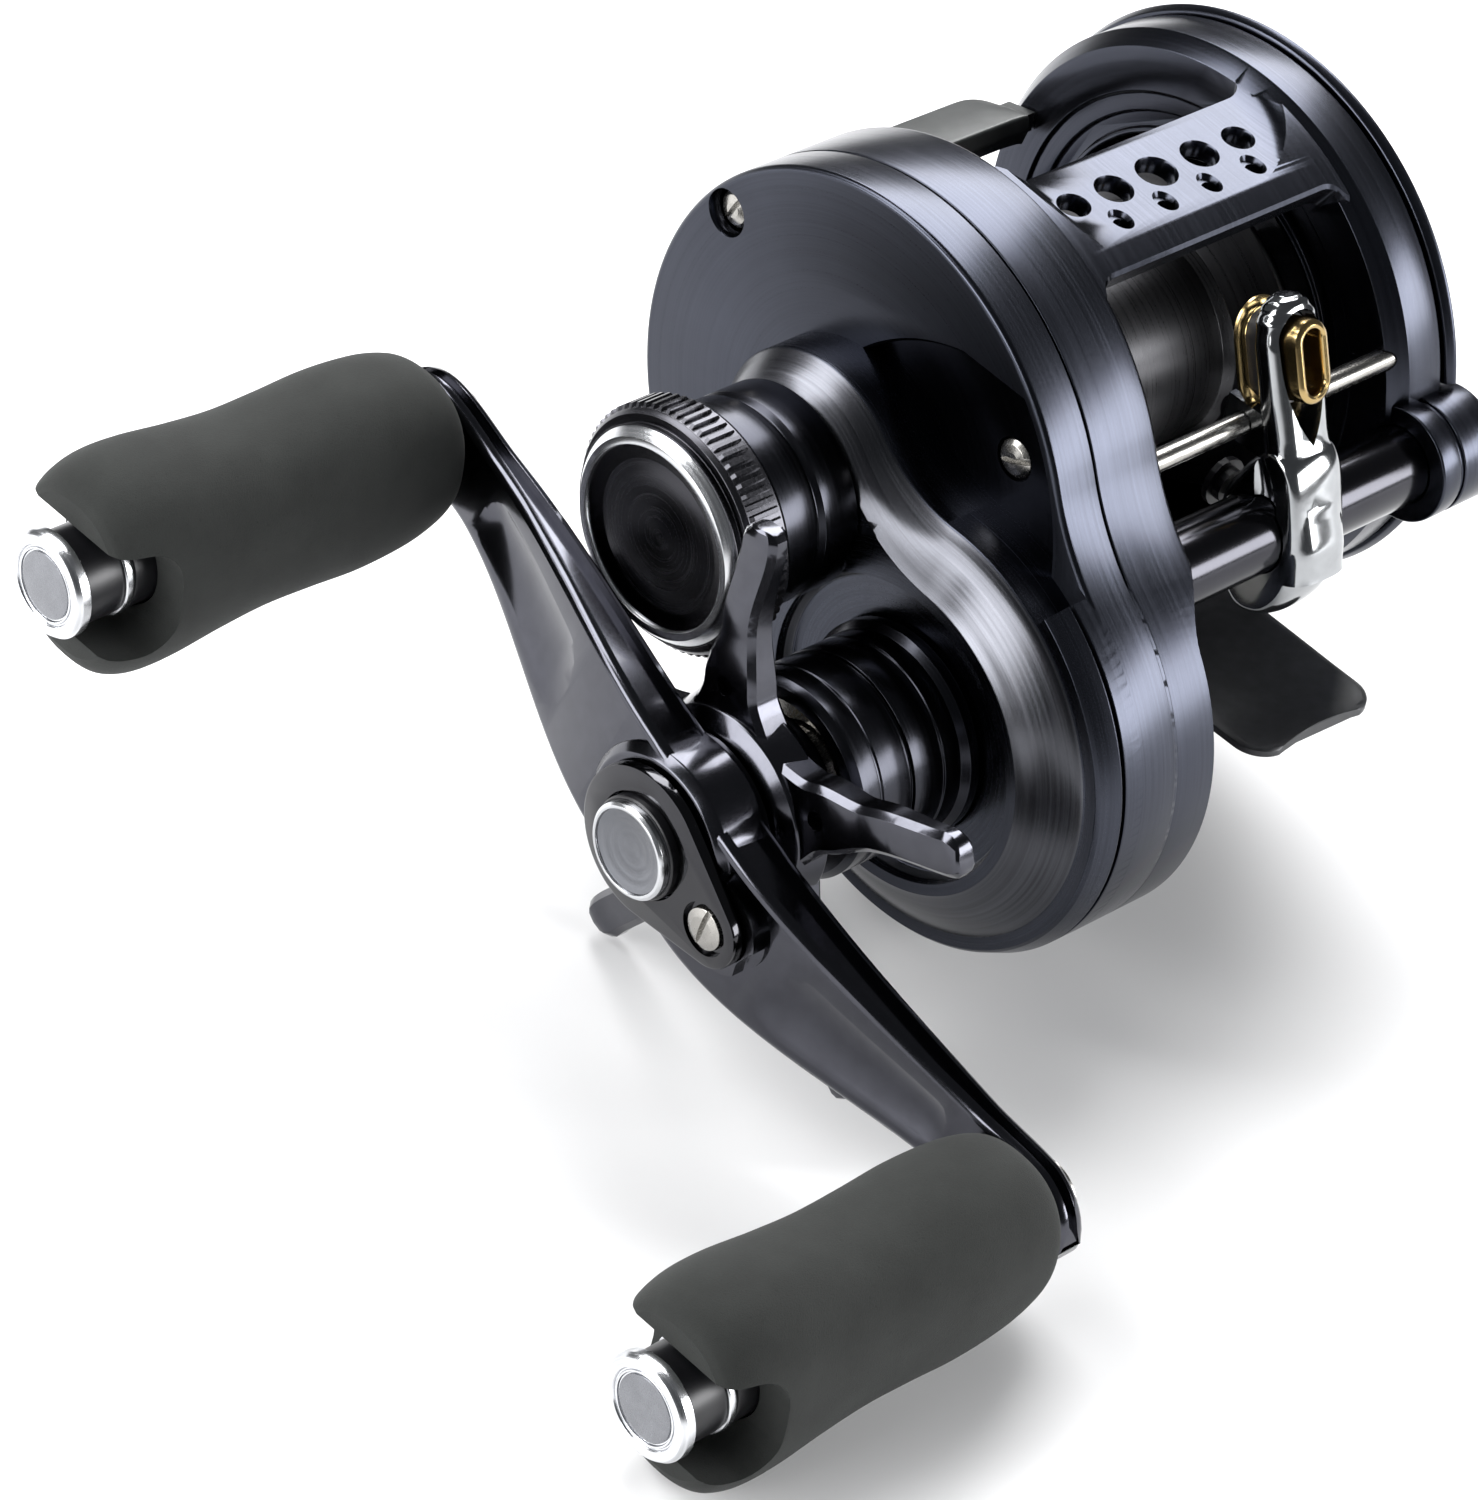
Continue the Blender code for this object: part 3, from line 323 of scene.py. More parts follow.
def lobes(main, bulge, fillet, steps=(110, 80, 18)):
    """Outline of a circle on the spool axis blended into one on the crank."""
    offset = CRANK.length
    heading = math.atan2(CRANK.y, CRANK.x)
    reach = main + fillet
    other = bulge + fillet
    swing = math.acos((reach ** 2 + offset ** 2 - other ** 2) / (2 * reach * offset))
    centres = [polar(AXIS, reach, heading + side * swing) for side in (1.0, -1.0)]
    turns = [math.atan2(c.y - CRANK.y, c.x - CRANK.x) for c in centres]
    points = arc(AXIS, main, heading + swing, heading - swing + math.tau, steps[0])
    low = math.atan2(-centres[1].y, -centres[1].x)
    back = math.atan2(CRANK.y - centres[1].y, CRANK.x - centres[1].x)
    back = low + math.remainder(back - low, math.tau)
    points += arc(centres[1], fillet, low, back, steps[2])[1:]
    first = turns[1]
    sweep = (turns[0] - first) % math.tau
    points += arc(CRANK, bulge, first, first + sweep, steps[1])[1:]
    low = math.atan2(CRANK.y - centres[0].y, CRANK.x - centres[0].x)
    back = math.atan2(-centres[0].y, -centres[0].x)
    back = low + math.remainder(back - low, math.tau)
    points += arc(centres[0], fillet, low, back, steps[2])[1:-1]
    return points


def lobe_loft(levels, steps=(110, 80, 18)):
    """Loft of lobed outlines; each level is (x, main, bulge, fillet)."""
    sections = []
    for x, main, bulge, fillet in levels:
        sections.append([(x, p.x, p.y) for p in lobes(main, bulge, fillet, steps)])
    return loft(sections)


def upright(x, y, low, high, r, sides=32):
    bm = bmesh.new()
    bmesh.ops.create_cone(bm, cap_ends=True, segments=sides, radius1=r, radius2=r,
                          depth=high - low)
    bmesh.ops.translate(bm, vec=(x, y, (low + high) / 2.0), verts=bm.verts)
    return mesh_from(bm)


def soften(item, width, segments):
    """Bevel the sharp edges of a piece by a small width in millimetres."""
    step = item.modifiers.new("edges", "BEVEL")
    step.width = width * MM
    step.segments = segments
    step.limit_method = "ANGLE"
    step.angle_limit = BEVEL_ANGLE
    step.harden_normals = False
    step.use_clamp_overlap = True
    step.miter_outer = "MITER_ARC"


def tidy(mesh):
    """Merge stray points and dissolve the coplanar cuts that a Boolean leaves."""
    bm = bmesh.new()
    bm.from_mesh(mesh)
    bmesh.ops.remove_doubles(bm, verts=bm.verts, dist=MERGE_DISTANCE)
    bmesh.ops.dissolve_limit(bm, angle_limit=FLAT_ANGLE, verts=bm.verts, edges=bm.edges)
    bm.to_mesh(mesh)
    bm.free()


def place(name, mesh, material, body, nodes, bevel=0.0, clean=False, segments=2):
    """Move a shape into the frame and say what it rides on and what it replaces."""
    if clean:
        tidy(mesh)
    mesh.transform(Matrix.Translation(SHIFT) @ Matrix.Scale(MM, 4))
    mesh.materials.clear()
    for entry in material if isinstance(material, list) else [material]:
        mesh.materials.append(entry)
    mesh.name = name
    mesh.shade_smooth()
    mesh.set_sharp_from_angle(angle=SHARP_ANGLE)
    item = bpy.data.objects.new(name, mesh)
    bpy.context.scene.collection.objects.link(item)
    if bevel > 0.0:
        soften(item, bevel, segments)
        normals = item.modifiers.new("normals", "WEIGHTED_NORMAL")
        normals.keep_sharp = False
        mesh.shade_smooth()
        if "sharp_edge" in mesh.attributes:
            mesh.attributes.remove(mesh.attributes["sharp_edge"])
    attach(item, body)
    if nodes:
        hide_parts(*nodes)
    return item


# ---------------------------------------------------------------- materials

class Nodes:
    """A material's node tree with short calls to add and link its nodes."""

    def __init__(self, name):
        self.material = bpy.data.materials.new(name)
        self.material.use_nodes = True
        self.tree = self.material.node_tree
        self.shader = self.tree.nodes["Principled BSDF"]
        coords = self.tree.nodes.new("ShaderNodeTexCoord")
        self.place = self.vector("SUBTRACT", coords.outputs["Object"], tuple(SHIFT))
        self.place = self.vector("SCALE", self.place, scale=1.0 / MM)

    def link(self, source, target):
        self.tree.links.new(source, target)

    def feed(self, socket, value):
        if isinstance(value, bpy.types.NodeSocket):
            self.link(value, socket)
        else:
            socket.default_value = value

    def vector(self, operation, first, second=None, scale=None):
        node = self.tree.nodes.new("ShaderNodeVectorMath")
        node.operation = operation
        self.feed(node.inputs[0], first)
        if second is not None:
            self.feed(node.inputs[1], second)
        if scale is not None:
            self.feed(node.inputs["Scale"], scale)
        return node.outputs["Vector"]

    def math(self, operation, first, second=0.0):
        node = self.tree.nodes.new("ShaderNodeMath")
        node.operation = operation
        self.feed(node.inputs[0], first)
        self.feed(node.inputs[1], second)
        return node.outputs[0]

    def split(self, vector):
        node = self.tree.nodes.new("ShaderNodeSeparateXYZ")
        self.link(vector, node.inputs[0])
        return node.outputs

    def pack(self, x, y, z):
        node = self.tree.nodes.new("ShaderNodeCombineXYZ")
        for socket, value in zip(node.inputs, (x, y, z)):
            self.feed(socket, value)
        return node.outputs[0]

    def noise(self, vector, scale, detail=3.0, roughness=0.5):
        node = self.tree.nodes.new("ShaderNodeTexNoise")
        self.link(vector, node.inputs["Vector"])
        node.inputs["Scale"].default_value = scale
        node.inputs["Detail"].default_value = detail
        node.inputs["Roughness"].default_value = roughness
        return node.outputs["Fac"]

    def span(self, value, low, high, to_low=0.0, to_high=1.0):
        node = self.tree.nodes.new("ShaderNodeMapRange")
        self.feed(node.inputs["Value"], value)
        node.inputs["From Min"].default_value = low
        node.inputs["From Max"].default_value = high
        node.inputs["To Min"].default_value = to_low
        node.inputs["To Max"].default_value = to_high
        return node.outputs[0]

    def bump(self, height, strength, distance):
        node = self.tree.nodes.new("ShaderNodeBump")
        node.inputs["Strength"].default_value = strength
        node.inputs["Distance"].default_value = distance * MM
        self.link(height, node.inputs["Height"])
        self.link(node.outputs[0], self.shader.inputs["Normal"])

    def around(self, centre):
        """Place relative to an axis along X: (x, y, z, distance)."""
        offset = self.vector("SUBTRACT", self.place, (0.0, centre[0], centre[1]))
        x, y, z = self.split(offset)
        distance = self.math("SQRT", self.math("ADD", self.math("MULTIPLY", y, y),
                                               self.math("MULTIPLY", z, z)))
        return x, y, z, self.math("MAXIMUM", distance, 0.01)

    def facing(self):
        """Object-space normal, and how squarely the surface faces along X."""
        coords = self.tree.nodes.new("ShaderNodeTexCoord")
        parts = self.split(coords.outputs["Normal"])
        return parts, self.span(self.math("ABSOLUTE", parts[0]), 0.90, 0.96)

    def brush(self, centre, fine):
        """Turning lines round an axis, and the direction they run in world space.

        On a face square to the axis the lines are circles; on a side wall they
        follow the wall at a constant place along the axis.
        """
        x, y, z, distance = self.around(centre)
        parts, flat = self.facing()
        out_y = self.math("DIVIDE", y, distance)
        out_z = self.math("DIVIDE", z, distance)
        rings = self.streaks(distance, fine, out_y, out_z, 0.5)
        rows = self.streaks(x, fine, y, z, 0.025)
        lines = self.blend(flat, rows, rings)
        run_y = self.math("MULTIPLY", self.blend(flat, parts[2], out_z), -1.0)
        run_z = self.blend(flat, parts[1], out_y)
        node = self.tree.nodes.new("ShaderNodeVectorTransform")
        node.vector_type = "VECTOR"
        node.convert_from = "OBJECT"
        node.convert_to = "WORLD"
        self.link(self.pack(0.0, run_y, run_z), node.inputs[0])
        return lines, self.vector("NORMALIZE", node.outputs[0])

    def streaks(self, across, fine, first, second, slow):
        """Noise that changes fast across the lines and slowly along them."""
        spot = self.pack(self.math("MULTIPLY", across, fine), self.math("MULTIPLY", first, slow),
                         self.math("MULTIPLY", second, slow))
        return self.noise(spot, 1.0, 4.0, 0.6)

    def blend(self, share, first, second):
        node = self.tree.nodes.new("ShaderNodeMix")
        node.data_type = "FLOAT"
        self.feed(node.inputs[0], share)
        self.feed(node.inputs[2], first)
        self.feed(node.inputs[3], second)
        return node.outputs[0]

    def set(self, **values):
        for name, value in values.items():
            self.feed(self.shader.inputs[SOCKETS[name]], value)


SOCKETS = {"color": "Base Color", "metallic": "Metallic", "roughness": "Roughness",
           "tangent": "Tangent", "anisotropy": "Anisotropic", "specular": "Specular IOR Level",
           "coat": "Coat Weight", "coat_roughness": "Coat Roughness", "sheen": "Sheen Weight",
           "sheen_roughness": "Sheen Roughness"}


def turned_metal(name, colour, roughness, centre=AXIS, streak=1.0, anisotropy=0.6, fine=5.0,
                 spread=0.10):
    """Metal brushed or turned round an axis along X."""
    n = Nodes(name)
    lines, run = n.brush(centre, fine)
    bands = n.noise(n.place, 0.10, 3.0)
    grain = n.noise(n.place, 9.0, 4.0)
    tone = n.span(lines, 0.3, 0.7, 1.0 - 0.22 * streak, 1.0 + 0.28 * streak)
    tone = n.math("MULTIPLY", tone, n.span(bands, 0.3, 0.7, 0.93, 1.08))
    low, high = roughness - spread / 2, roughness + spread / 2
    rough = n.math("ADD", n.span(lines, 0.25, 0.75, low, high),
                   n.span(grain, 0.3, 0.7, -0.02, 0.02))
    n.set(color=n.vector("SCALE", colour, scale=tone), metallic=1.0, roughness=rough,
          anisotropy=anisotropy, tangent=run)
    n.bump(lines, 0.35 * streak, 0.0012)
    return n.material


def polished_metal(name, colour, roughness, coat=0.0, ripple=0.004, spread=0.05):
    """Smooth metal with faint handling marks and a soft ripple."""
    n = Nodes(name)
    smear = n.noise(n.place, 0.55, 4.0, 0.6)
    specks = n.noise(n.place, 14.0, 3.0, 0.6)
    wipes = n.noise(n.vector("MULTIPLY", n.place, (1.0, 7.0, 2.2)), 1.3, 4.0, 0.6)
    tone = n.span(smear, 0.3, 0.7, 0.92, 1.08)
    rough = n.math("ADD", n.span(wipes, 0.35, 0.75, roughness, roughness + spread),
                   n.span(specks, 0.4, 0.7, 0.0, 0.015))
    n.set(color=n.vector("SCALE", colour, scale=tone), metallic=1.0, roughness=rough)
    if coat:
        n.set(coat=coat, coat_roughness=0.05)
    n.bump(smear, 0.12, ripple)
    return n.material


def satin_black(name, colour=(0.010, 0.010, 0.012), roughness=0.34, grain=0.004):
    """Anodised or painted black with a very fine tooth."""
    n = Nodes(name)
    tooth = n.noise(n.place, 16.0, 5.0, 0.7)
    cloud = n.noise(n.place, 0.8, 3.0)
    tone = n.span(cloud, 0.3, 0.7, 0.85, 1.2)
    rough = n.span(tooth, 0.3, 0.7, roughness - 0.05, roughness + 0.07)
    n.set(color=n.vector("SCALE", colour, scale=tone), metallic=0.35, roughness=rough,
          specular=0.6)
    n.bump(tooth, 0.25, grain)
    return n.material


def foam_grip(name):
    """Hard foam: closed cells, a dusty bloom and a few larger pores."""
    n = Nodes(name)
    cells = n.tree.nodes.new("ShaderNodeTexVoronoi")
    n.link(n.place, cells.inputs["Vector"])
    cells.inputs["Scale"].default_value = 6.5
    fine = n.noise(n.place, 11.0, 6.0, 0.75)
    cloud = n.noise(n.place, 0.22, 3.0, 0.5)
    pores = n.noise(n.place, 3.1, 5.0, 0.7)
    tone = n.math("MULTIPLY", n.span(fine, 0.3, 0.7, 0.75, 1.3),
                  n.span(cloud, 0.3, 0.7, 0.85, 1.15))
    tone = n.math("MULTIPLY", tone, n.span(pores, 0.28, 0.4, 0.6, 1.0))
    n.set(color=n.vector("SCALE", FOAM, scale=tone), metallic=0.0,
          roughness=n.span(fine, 0.3, 0.7, 0.78, 0.95), specular=0.25, sheen=0.04,
          sheen_roughness=0.5)
    n.bump(n.math("ADD", n.math("MULTIPLY", cells.outputs["Distance"], 0.6), fine), 0.45, 0.06)
    return n.material


BODY = (0.040, 0.043, 0.055)
DARK = (0.028, 0.029, 0.035)
SILVER = (0.62, 0.63, 0.65)
FOAM = (0.017, 0.0185, 0.0175)
body_axis = turned_metal("anodised_body", BODY, 0.23, AXIS, streak=0.6, anisotropy=0.75,
                         fine=5.0, spread=0.06)
body_crank = turned_metal("anodised_housing", BODY, 0.26, CRANK, streak=0.7, anisotropy=0.75,
                          fine=5.0, spread=0.06)
body_flat = turned_metal("anodised_face", BODY, 0.30, AXIS, streak=0.35, anisotropy=0.7, fine=9.0,
                         spread=0.05)
band_metal = turned_metal("brushed_band", (0.078, 0.080, 0.090), 0.22, CRANK, streak=1.2,
                          anisotropy=0.8, fine=6.0)
dark_turned = turned_metal("black_turned", DARK, 0.20, CRANK, streak=0.5)
dark_axis = turned_metal("black_turned_axis", DARK, 0.20, AXIS, streak=0.5)
gunmetal = polished_metal("gloss_gunmetal", (0.058, 0.059, 0.070), 0.14, coat=0.15)
black = satin_black("satin_black")
foot_black = satin_black("foot_black", (0.030, 0.031, 0.034), 0.42, 0.010)
thumb_black = satin_black("thumb_black", (0.030, 0.032, 0.032), 0.40, 0.008)
deep_black = satin_black("deep_black", (0.004, 0.004, 0.005), 0.45)
gloss_black = polished_metal("gloss_black", (0.020, 0.020, 0.024), 0.12, coat=0.5)
steel = polished_metal("machined_steel", (0.34, 0.33, 0.31), 0.22, spread=0.08)
silver_crank = turned_metal("turned_silver", SILVER, 0.20, CRANK, streak=0.5)
silver_axis = turned_metal("turned_silver_axis", SILVER, 0.20, AXIS, streak=0.5)
silver_front = turned_metal("turned_silver_front", SILVER, 0.20, KNOB_FRONT, streak=0.5)
silver_rear = turned_metal("turned_silver_rear", SILVER, 0.20, KNOB_REAR, streak=0.5)
# Darker copy of the body's anodise for the crescent pocket's floor: painted shade, since the real pocket has the
# body's own finish.
pocket_painted_shade = turned_metal("pocket_painted_shade", (0.018, 0.019, 0.024), 0.22, AXIS, streak=0.4)
chrome = polished_metal("chrome", (0.34, 0.35, 0.36), 0.10, spread=0.03, ripple=0.001)
gold = polished_metal("gold", (0.40, 0.29, 0.13), 0.16, spread=0.05)
brass = polished_metal("brass", (0.62, 0.46, 0.20), 0.25, spread=0.1)
foam = foam_grip("foam_grip")
spool_metal = turned_metal("spool_metal", (0.045, 0.045, 0.048), 0.30, AXIS, streak=0.5)
knurl_metal = turned_metal("knurl_metal", (0.055, 0.055, 0.062), 0.25, AXIS, streak=0.4)
dish_metal = turned_metal("dish_metal", (0.035, 0.035, 0.040), 0.16, AXIS, streak=0.15,
                          anisotropy=0.9, spread=0.03)
dish_crank = turned_metal("dish_crank", (0.16, 0.165, 0.18), 0.22, CRANK, streak=0.3,
                          anisotropy=0.85, spread=0.04)
cap_face = polished_metal("cap_face", (0.20, 0.205, 0.22), 0.25)
tube_metal = turned_metal("tube_metal", (0.040, 0.040, 0.046), 0.16, WORM, streak=0.15,
                          anisotropy=0.3, spread=0.03)


# ---------------------------------------------------------------- body

def on_deck(forward, height):
    """A point of (y, z) on the tilted deck: distance forward and height above the axis."""
    up = polar(AXIS, 1.0, DECK_TILT)
    return up * height + Vector((-up.y, up.x)) * forward


def deck_plate():
    """Front rest between the rings: a shell that flares at its ends, with a lip in front."""
    half = 15.0
    stations = 90
    across = 36
    corner = 1.9
    rows = []
    for i in range(stations + 1):
        x = -half + 2 * half * i / stations
        flare = corner_pull(half - 0.3 - abs(x), corner)
        front = math.radians(121.5) + flare / RING_R
        back = math.radians(93.0) - 0.8 * flare / RING_R
        row = []
        for j in range(across + 1):
            angle = back + (front - back) * j / across
            lip = 0.35 * ease(angle, front - 0.022, front) ** 2
            spot = polar(AXIS, RING_R - 0.02 - lip, angle)
            row.append((x, spot.x, spot.y))
        for j in range(across + 1):
            spot = polar(AXIS, 22.4, front + (back - front) * j / across)
            row.append((x, spot.x, spot.y))
        rows.append(row)
    return loft(rows)


def deck_floor(x, forward):
    """Height of the recess over the deck: flat, with a slope at the crank end and a scoop."""
    low = -12.2
    high = 12.6 - 0.045 * (forward + 2.5) ** 2 * (1.0 if forward > -2.5 else 0.25)
    rise = 0.0
    if x < low:
        rise = 1.9 * (low - x) / 2.6
    if x > high:
        reach = (x - high) / 4.2
        rise = 2.6 * (1.0 - math.sqrt(max(1.0 - min(reach, 1.0) ** 2, 0.0)))
        rise += max(reach - 1.0, 0.0) * 6.0
    rear = max(-forward - 6.6, 0.0)
    return min(DECK_HEIGHT + rise + 0.5 * rear ** 2, 33.0)


def deck_recess():
    """Cutter whose underside is the deck's surface."""
    columns = [-16.2 + 0.45 * i for i in range(77)]
    places = [-9.4 + 0.5 * j for j in range(43)]
    sections = []
    for x in columns:
        section = []
        for forward in places:
            spot = on_deck(forward, deck_floor(x, forward))
            section.append((x, spot.x, spot.y))
        for forward in (places[-1], places[0]):
            spot = on_deck(forward, 36.0)
            section.append((x, spot.x, spot.y))
        sections.append(section)
    return loft(sections)


def deck_cone(x, forward, height, low, high, depth, stretch=1.0):
    """A cutter square to the deck, from one radius up to another."""
    bm = bmesh.new()
    bmesh.ops.create_cone(bm, cap_ends=True, segments=40, radius1=low, radius2=high, depth=depth)
    bmesh.ops.scale(bm, vec=(1.0, stretch, 1.0), verts=bm.verts)
    turn = Matrix.Rotation(DECK_TILT - math.pi / 2, 4, "X")
    spot = on_deck(forward, DECK_HEIGHT + height)
    bmesh.ops.transform(bm, matrix=Matrix.Translation((x, spot.x, spot.y)) @ turn, verts=bm.verts)
    return mesh_from(bm)


def bulge_relief():
    """Cutter that thins the frame behind the crank bulge, outside the round ring."""
    sections = []
    for step in range(79):
        degrees = 119.0 + 2.0 * step
        out = polar(AXIS, 1.0, math.radians(degrees))
        along = CRANK.dot(out)
        reach = -along + math.sqrt(along ** 2 + RING_R ** 2 - CRANK.length_squared)
        reach = max(reach, BULGE_R - 5.5)
        share = ease(degrees, 119.0, 143.0) * (1.0 - ease(degrees, 235.0, 275.0))
        back = HANDLE_FACE + 0.2 + (BULGE_BACK - HANDLE_FACE - 0.2) * share
        section = []
        for x, distance in ((back, reach), (back, reach + 14.0), (HANDLE_FACE + 1.5, reach + 14.0),
                            (HANDLE_FACE + 1.5, reach)):
            spot = CRANK + out * distance
            section.append((x, spot.x, spot.y))
        sections.append(section)
    return loft(sections)


def frame_bar(start, end, inner, outer, steps=16):
    section = arc(AXIS, outer, math.radians(start), math.radians(end), steps)
    section += arc(AXIS, inner, math.radians(end), math.radians(start), steps)
    return slab(section, -15.2, 15.2)


def edge_levels(start, end, main, bulge, fillet, near, far, steps=4):
    """Levels of a lobed slab that runs towards -X, with rounded edges."""
    turns = [math.pi / 2 * step / steps for step in range(steps + 1)]
    levels = []
    for x, side, size, angles in ((start, -1.0, near, turns), (end, 1.0, far, turns[::-1])):
        for turn in angles:
            back = size * (1 - math.sin(turn))
            levels.append((x + side * size * (1 - math.cos(turn)), main - back, bulge - back,
                           fillet + back))
    return levels


def cavity(start, end):
    """The hollow inside the crank side's wall."""
    return lobe_loft([(x, RING_R - 1.8, BULGE_R - WALL, BULGE_FILLET + 1.5) for x in (start, end)])


def build_frame():
    handle = edge_levels(HANDLE_FACE, SEAM, RING_R, BULGE_R, BULGE_FILLET, 0.45, 0.12)
    handle = cut(lobe_loft(handle), bulge_relief())
    bearing_boss = rod(HANDLE_FACE - 0.4, -17.0, 7.0, CRANK)
    palm = turned([(PALM_FACE, 16.4), (PALM_FACE, 16.9), (15.1, 17.0), (15.1, 18.4),
                   (PALM_FACE, 18.5), (PALM_FACE, 20.1), (14.4, 20.4), (PALM_FACE - 0.1, 24.4),
                   (PALM_FACE + 1.6, RING_R), (PALM_RING_END, RING_R), (PALM_RING_END, 16.4)],
                  sides=200, radius=0.18)
    boss = turned([(PALM_FACE + 0.35, 0.0), (PALM_FACE + 0.35, 5.4), (17.3, 5.4), (17.3, 5.05),
                   (17.8, 5.05), (17.8, 5.4), (22.4, 5.4), (22.4, 0.0)], WORM, 64, 0.25)
    floor = box((HANDLE_FACE - 1.0, -12.5, -18.0), (PALM_FACE + 1.0, 12.5, -16.2))
    spine = frame_bar(-42.0, -8.0, 21.6, 24.4)
    deck = cut(deck_plate(), deck_recess())
    body = join(handle, bearing_boss, palm, boss, deck, floor, spine)
    open_face = HANDLE_FACE + 1.0
    holes = [cavity(-18.2, -23.0),
             rod(open_face, -19.2, SHAFT_HOLE_R),
             rod(open_face, -16.4, 16.2, sides=120),
             rod(open_face, -19.2, SHAFT_HOLE_R, CRANK),
             rod(open_face, -19.2, TUBE_HOLE_R, WORM),
             rod(PALM_FACE - 1.0, 23.0, TUBE_HOLE_R, WORM),
             rod(open_face, -17.2, ROD_HOLE_R, ROD),
             rod(PALM_FACE - 1.0, 17.2, ROD_HOLE_R, ROD)]
    for x, radius in DECK_BIG_HOLES:
        holes.append(deck_cone(x, 3.3, 0.0, radius, radius, 6.0))
        holes.append(deck_cone(x, 3.3, 0.0, radius - 0.02, radius + 0.3, 0.6))
    for x in DECK_SMALL_HOLES:
        holes.append(deck_cone(x, 6.9, -1.0, 0.78, 0.78, 5.0, 1.1))
        holes.append(deck_cone(x, 6.6, 0.0, 0.8, 1.2, 0.9, 1.35))
    for y in (-RIVET_Y, RIVET_Y):
        holes.append(upright(FOOT_X, y, -19.0, -15.0, RIVET_HOLE_R))
    body = cut(body, *holes)
    place("body_frame", body, body_axis, "reel", ["frame"], clean=True)


def build_palm_side():
    plate = turned([(17.6, 4.2), (17.6, 8.0), (18.3, 8.0), (18.3, 13.2), (17.6, 13.2),
                    (17.6, 16.1), (PALM_RING_END + 0.3, 16.1), (PALM_RING_END + 0.3, RING_R + 0.3),
                    (PALM_END, RING_R + 0.75), (PALM_END + 0.7, RING_R - 0.1),
                    (22.6, 22.0), (23.2, 17.0), (23.6, 12.0),
                    (23.8, 8.0), (23.8, 6.6), (22.0, 6.6), (22.0, 5.2), (19.4, 5.2), (19.4, 4.2)],
                   sides=160, radius=0.3)
    notch = rod(15.0, 26.0, 5.8, WORM, 64)
    place("palm_cover", cut(plate, notch), body_axis, "reel", ["palm_side_plate"],
          clean=True)
    dial = turned([(22.3, 0.0), (22.3, 6.3), (24.5, 6.3), (25.2, 5.6), (25.2, 4.2), (24.9, 4.0),
                   (24.9, 0.0)], sides=96, radius=0.12)
    grips = []
    for index in range(24):
        spot = polar(AXIS, 6.45, math.tau * index / 24)
        grips.append(rod(23.0, 26.0, 0.32, spot, 12))
    bar = box((24.4, -0.55, -3.4), (26.0, 0.55, 3.4))
    place("brake_adjuster", cut(dial, *grips, bar), dark_axis, "brake_control", ["brake_dial"],
          clean=True)
    cap = turned([(19.5, 0.0), (19.5, 3.4), (22.0, 3.4), (22.2, 3.2), (22.2, 0.0)], WORM, 64)
    slot = box((21.8, WORM.x - 2.4, WORM.y - 0.35), (23.0, WORM.x + 2.4, WORM.y + 0.35))
    place("worm_cap", cut(cap, slot), black, "reel", ["worm_end_cap"])


# ---------------------------------------------------------------- crank side covers

# Cover screws: (y, z), depth of the seat along X, and turn of the slot in degrees.
PLATE_SCREWS = [(18.4, 14.0, -23.7, 25.0), (-16.6, 9.6, -23.1, 70.0), (6.0, -22.0, -23.7, 10.0)]
SCREW_R = 1.75
SCREW_SEAT_R = 2.0
SCREW_SINK_R = 2.35


def pocket_outline(grow=0.0):
    """Crescent above the housing wall, inside a thin outer lip."""
    crescent = arc(AXIS, RING_R - 1.3 + grow, math.radians(173.5), math.radians(136.0), 60)
    crescent += arc((-15.0, -3.0), 20.6 + grow, math.radians(77.0), math.radians(42.0), 50)
    crescent += [Vector((-1.0, 3.0)), Vector((-9.0, -4.0)), Vector((-20.0, -4.0))]
    return crescent


def pocket_cutter():
    """The crescent's cutter, with a chamfer along its upper edge."""
    levels = ((-25.0, 0.0), (PLATE_FACE + 0.3, 0.0), (PLATE_FACE - 0.1, 0.4),
              (PLATE_FACE - 1.0, 0.4))
    return loft([[(x, p.x, p.y) for p in pocket_outline(grow)] for x, grow in levels])


def spool_sector(r, low, high, start, end):
    """A plate over the side of the bulge that faces the spool, from a radius outwards."""
    low, high = math.radians(low), math.radians(high)
    outline = arc(CRANK, r, high, low, 90) + arc(CRANK, HOUSING_R + 14.0, low, high, 60)
    return slab(outline, start, end)


def bulge_sector(start, end):
    """Cutter that keeps the bulge's round wall clear of the gear box cap."""
    return spool_sector(HOUSING_R + 0.05, -75.0, 122.0, start, end)


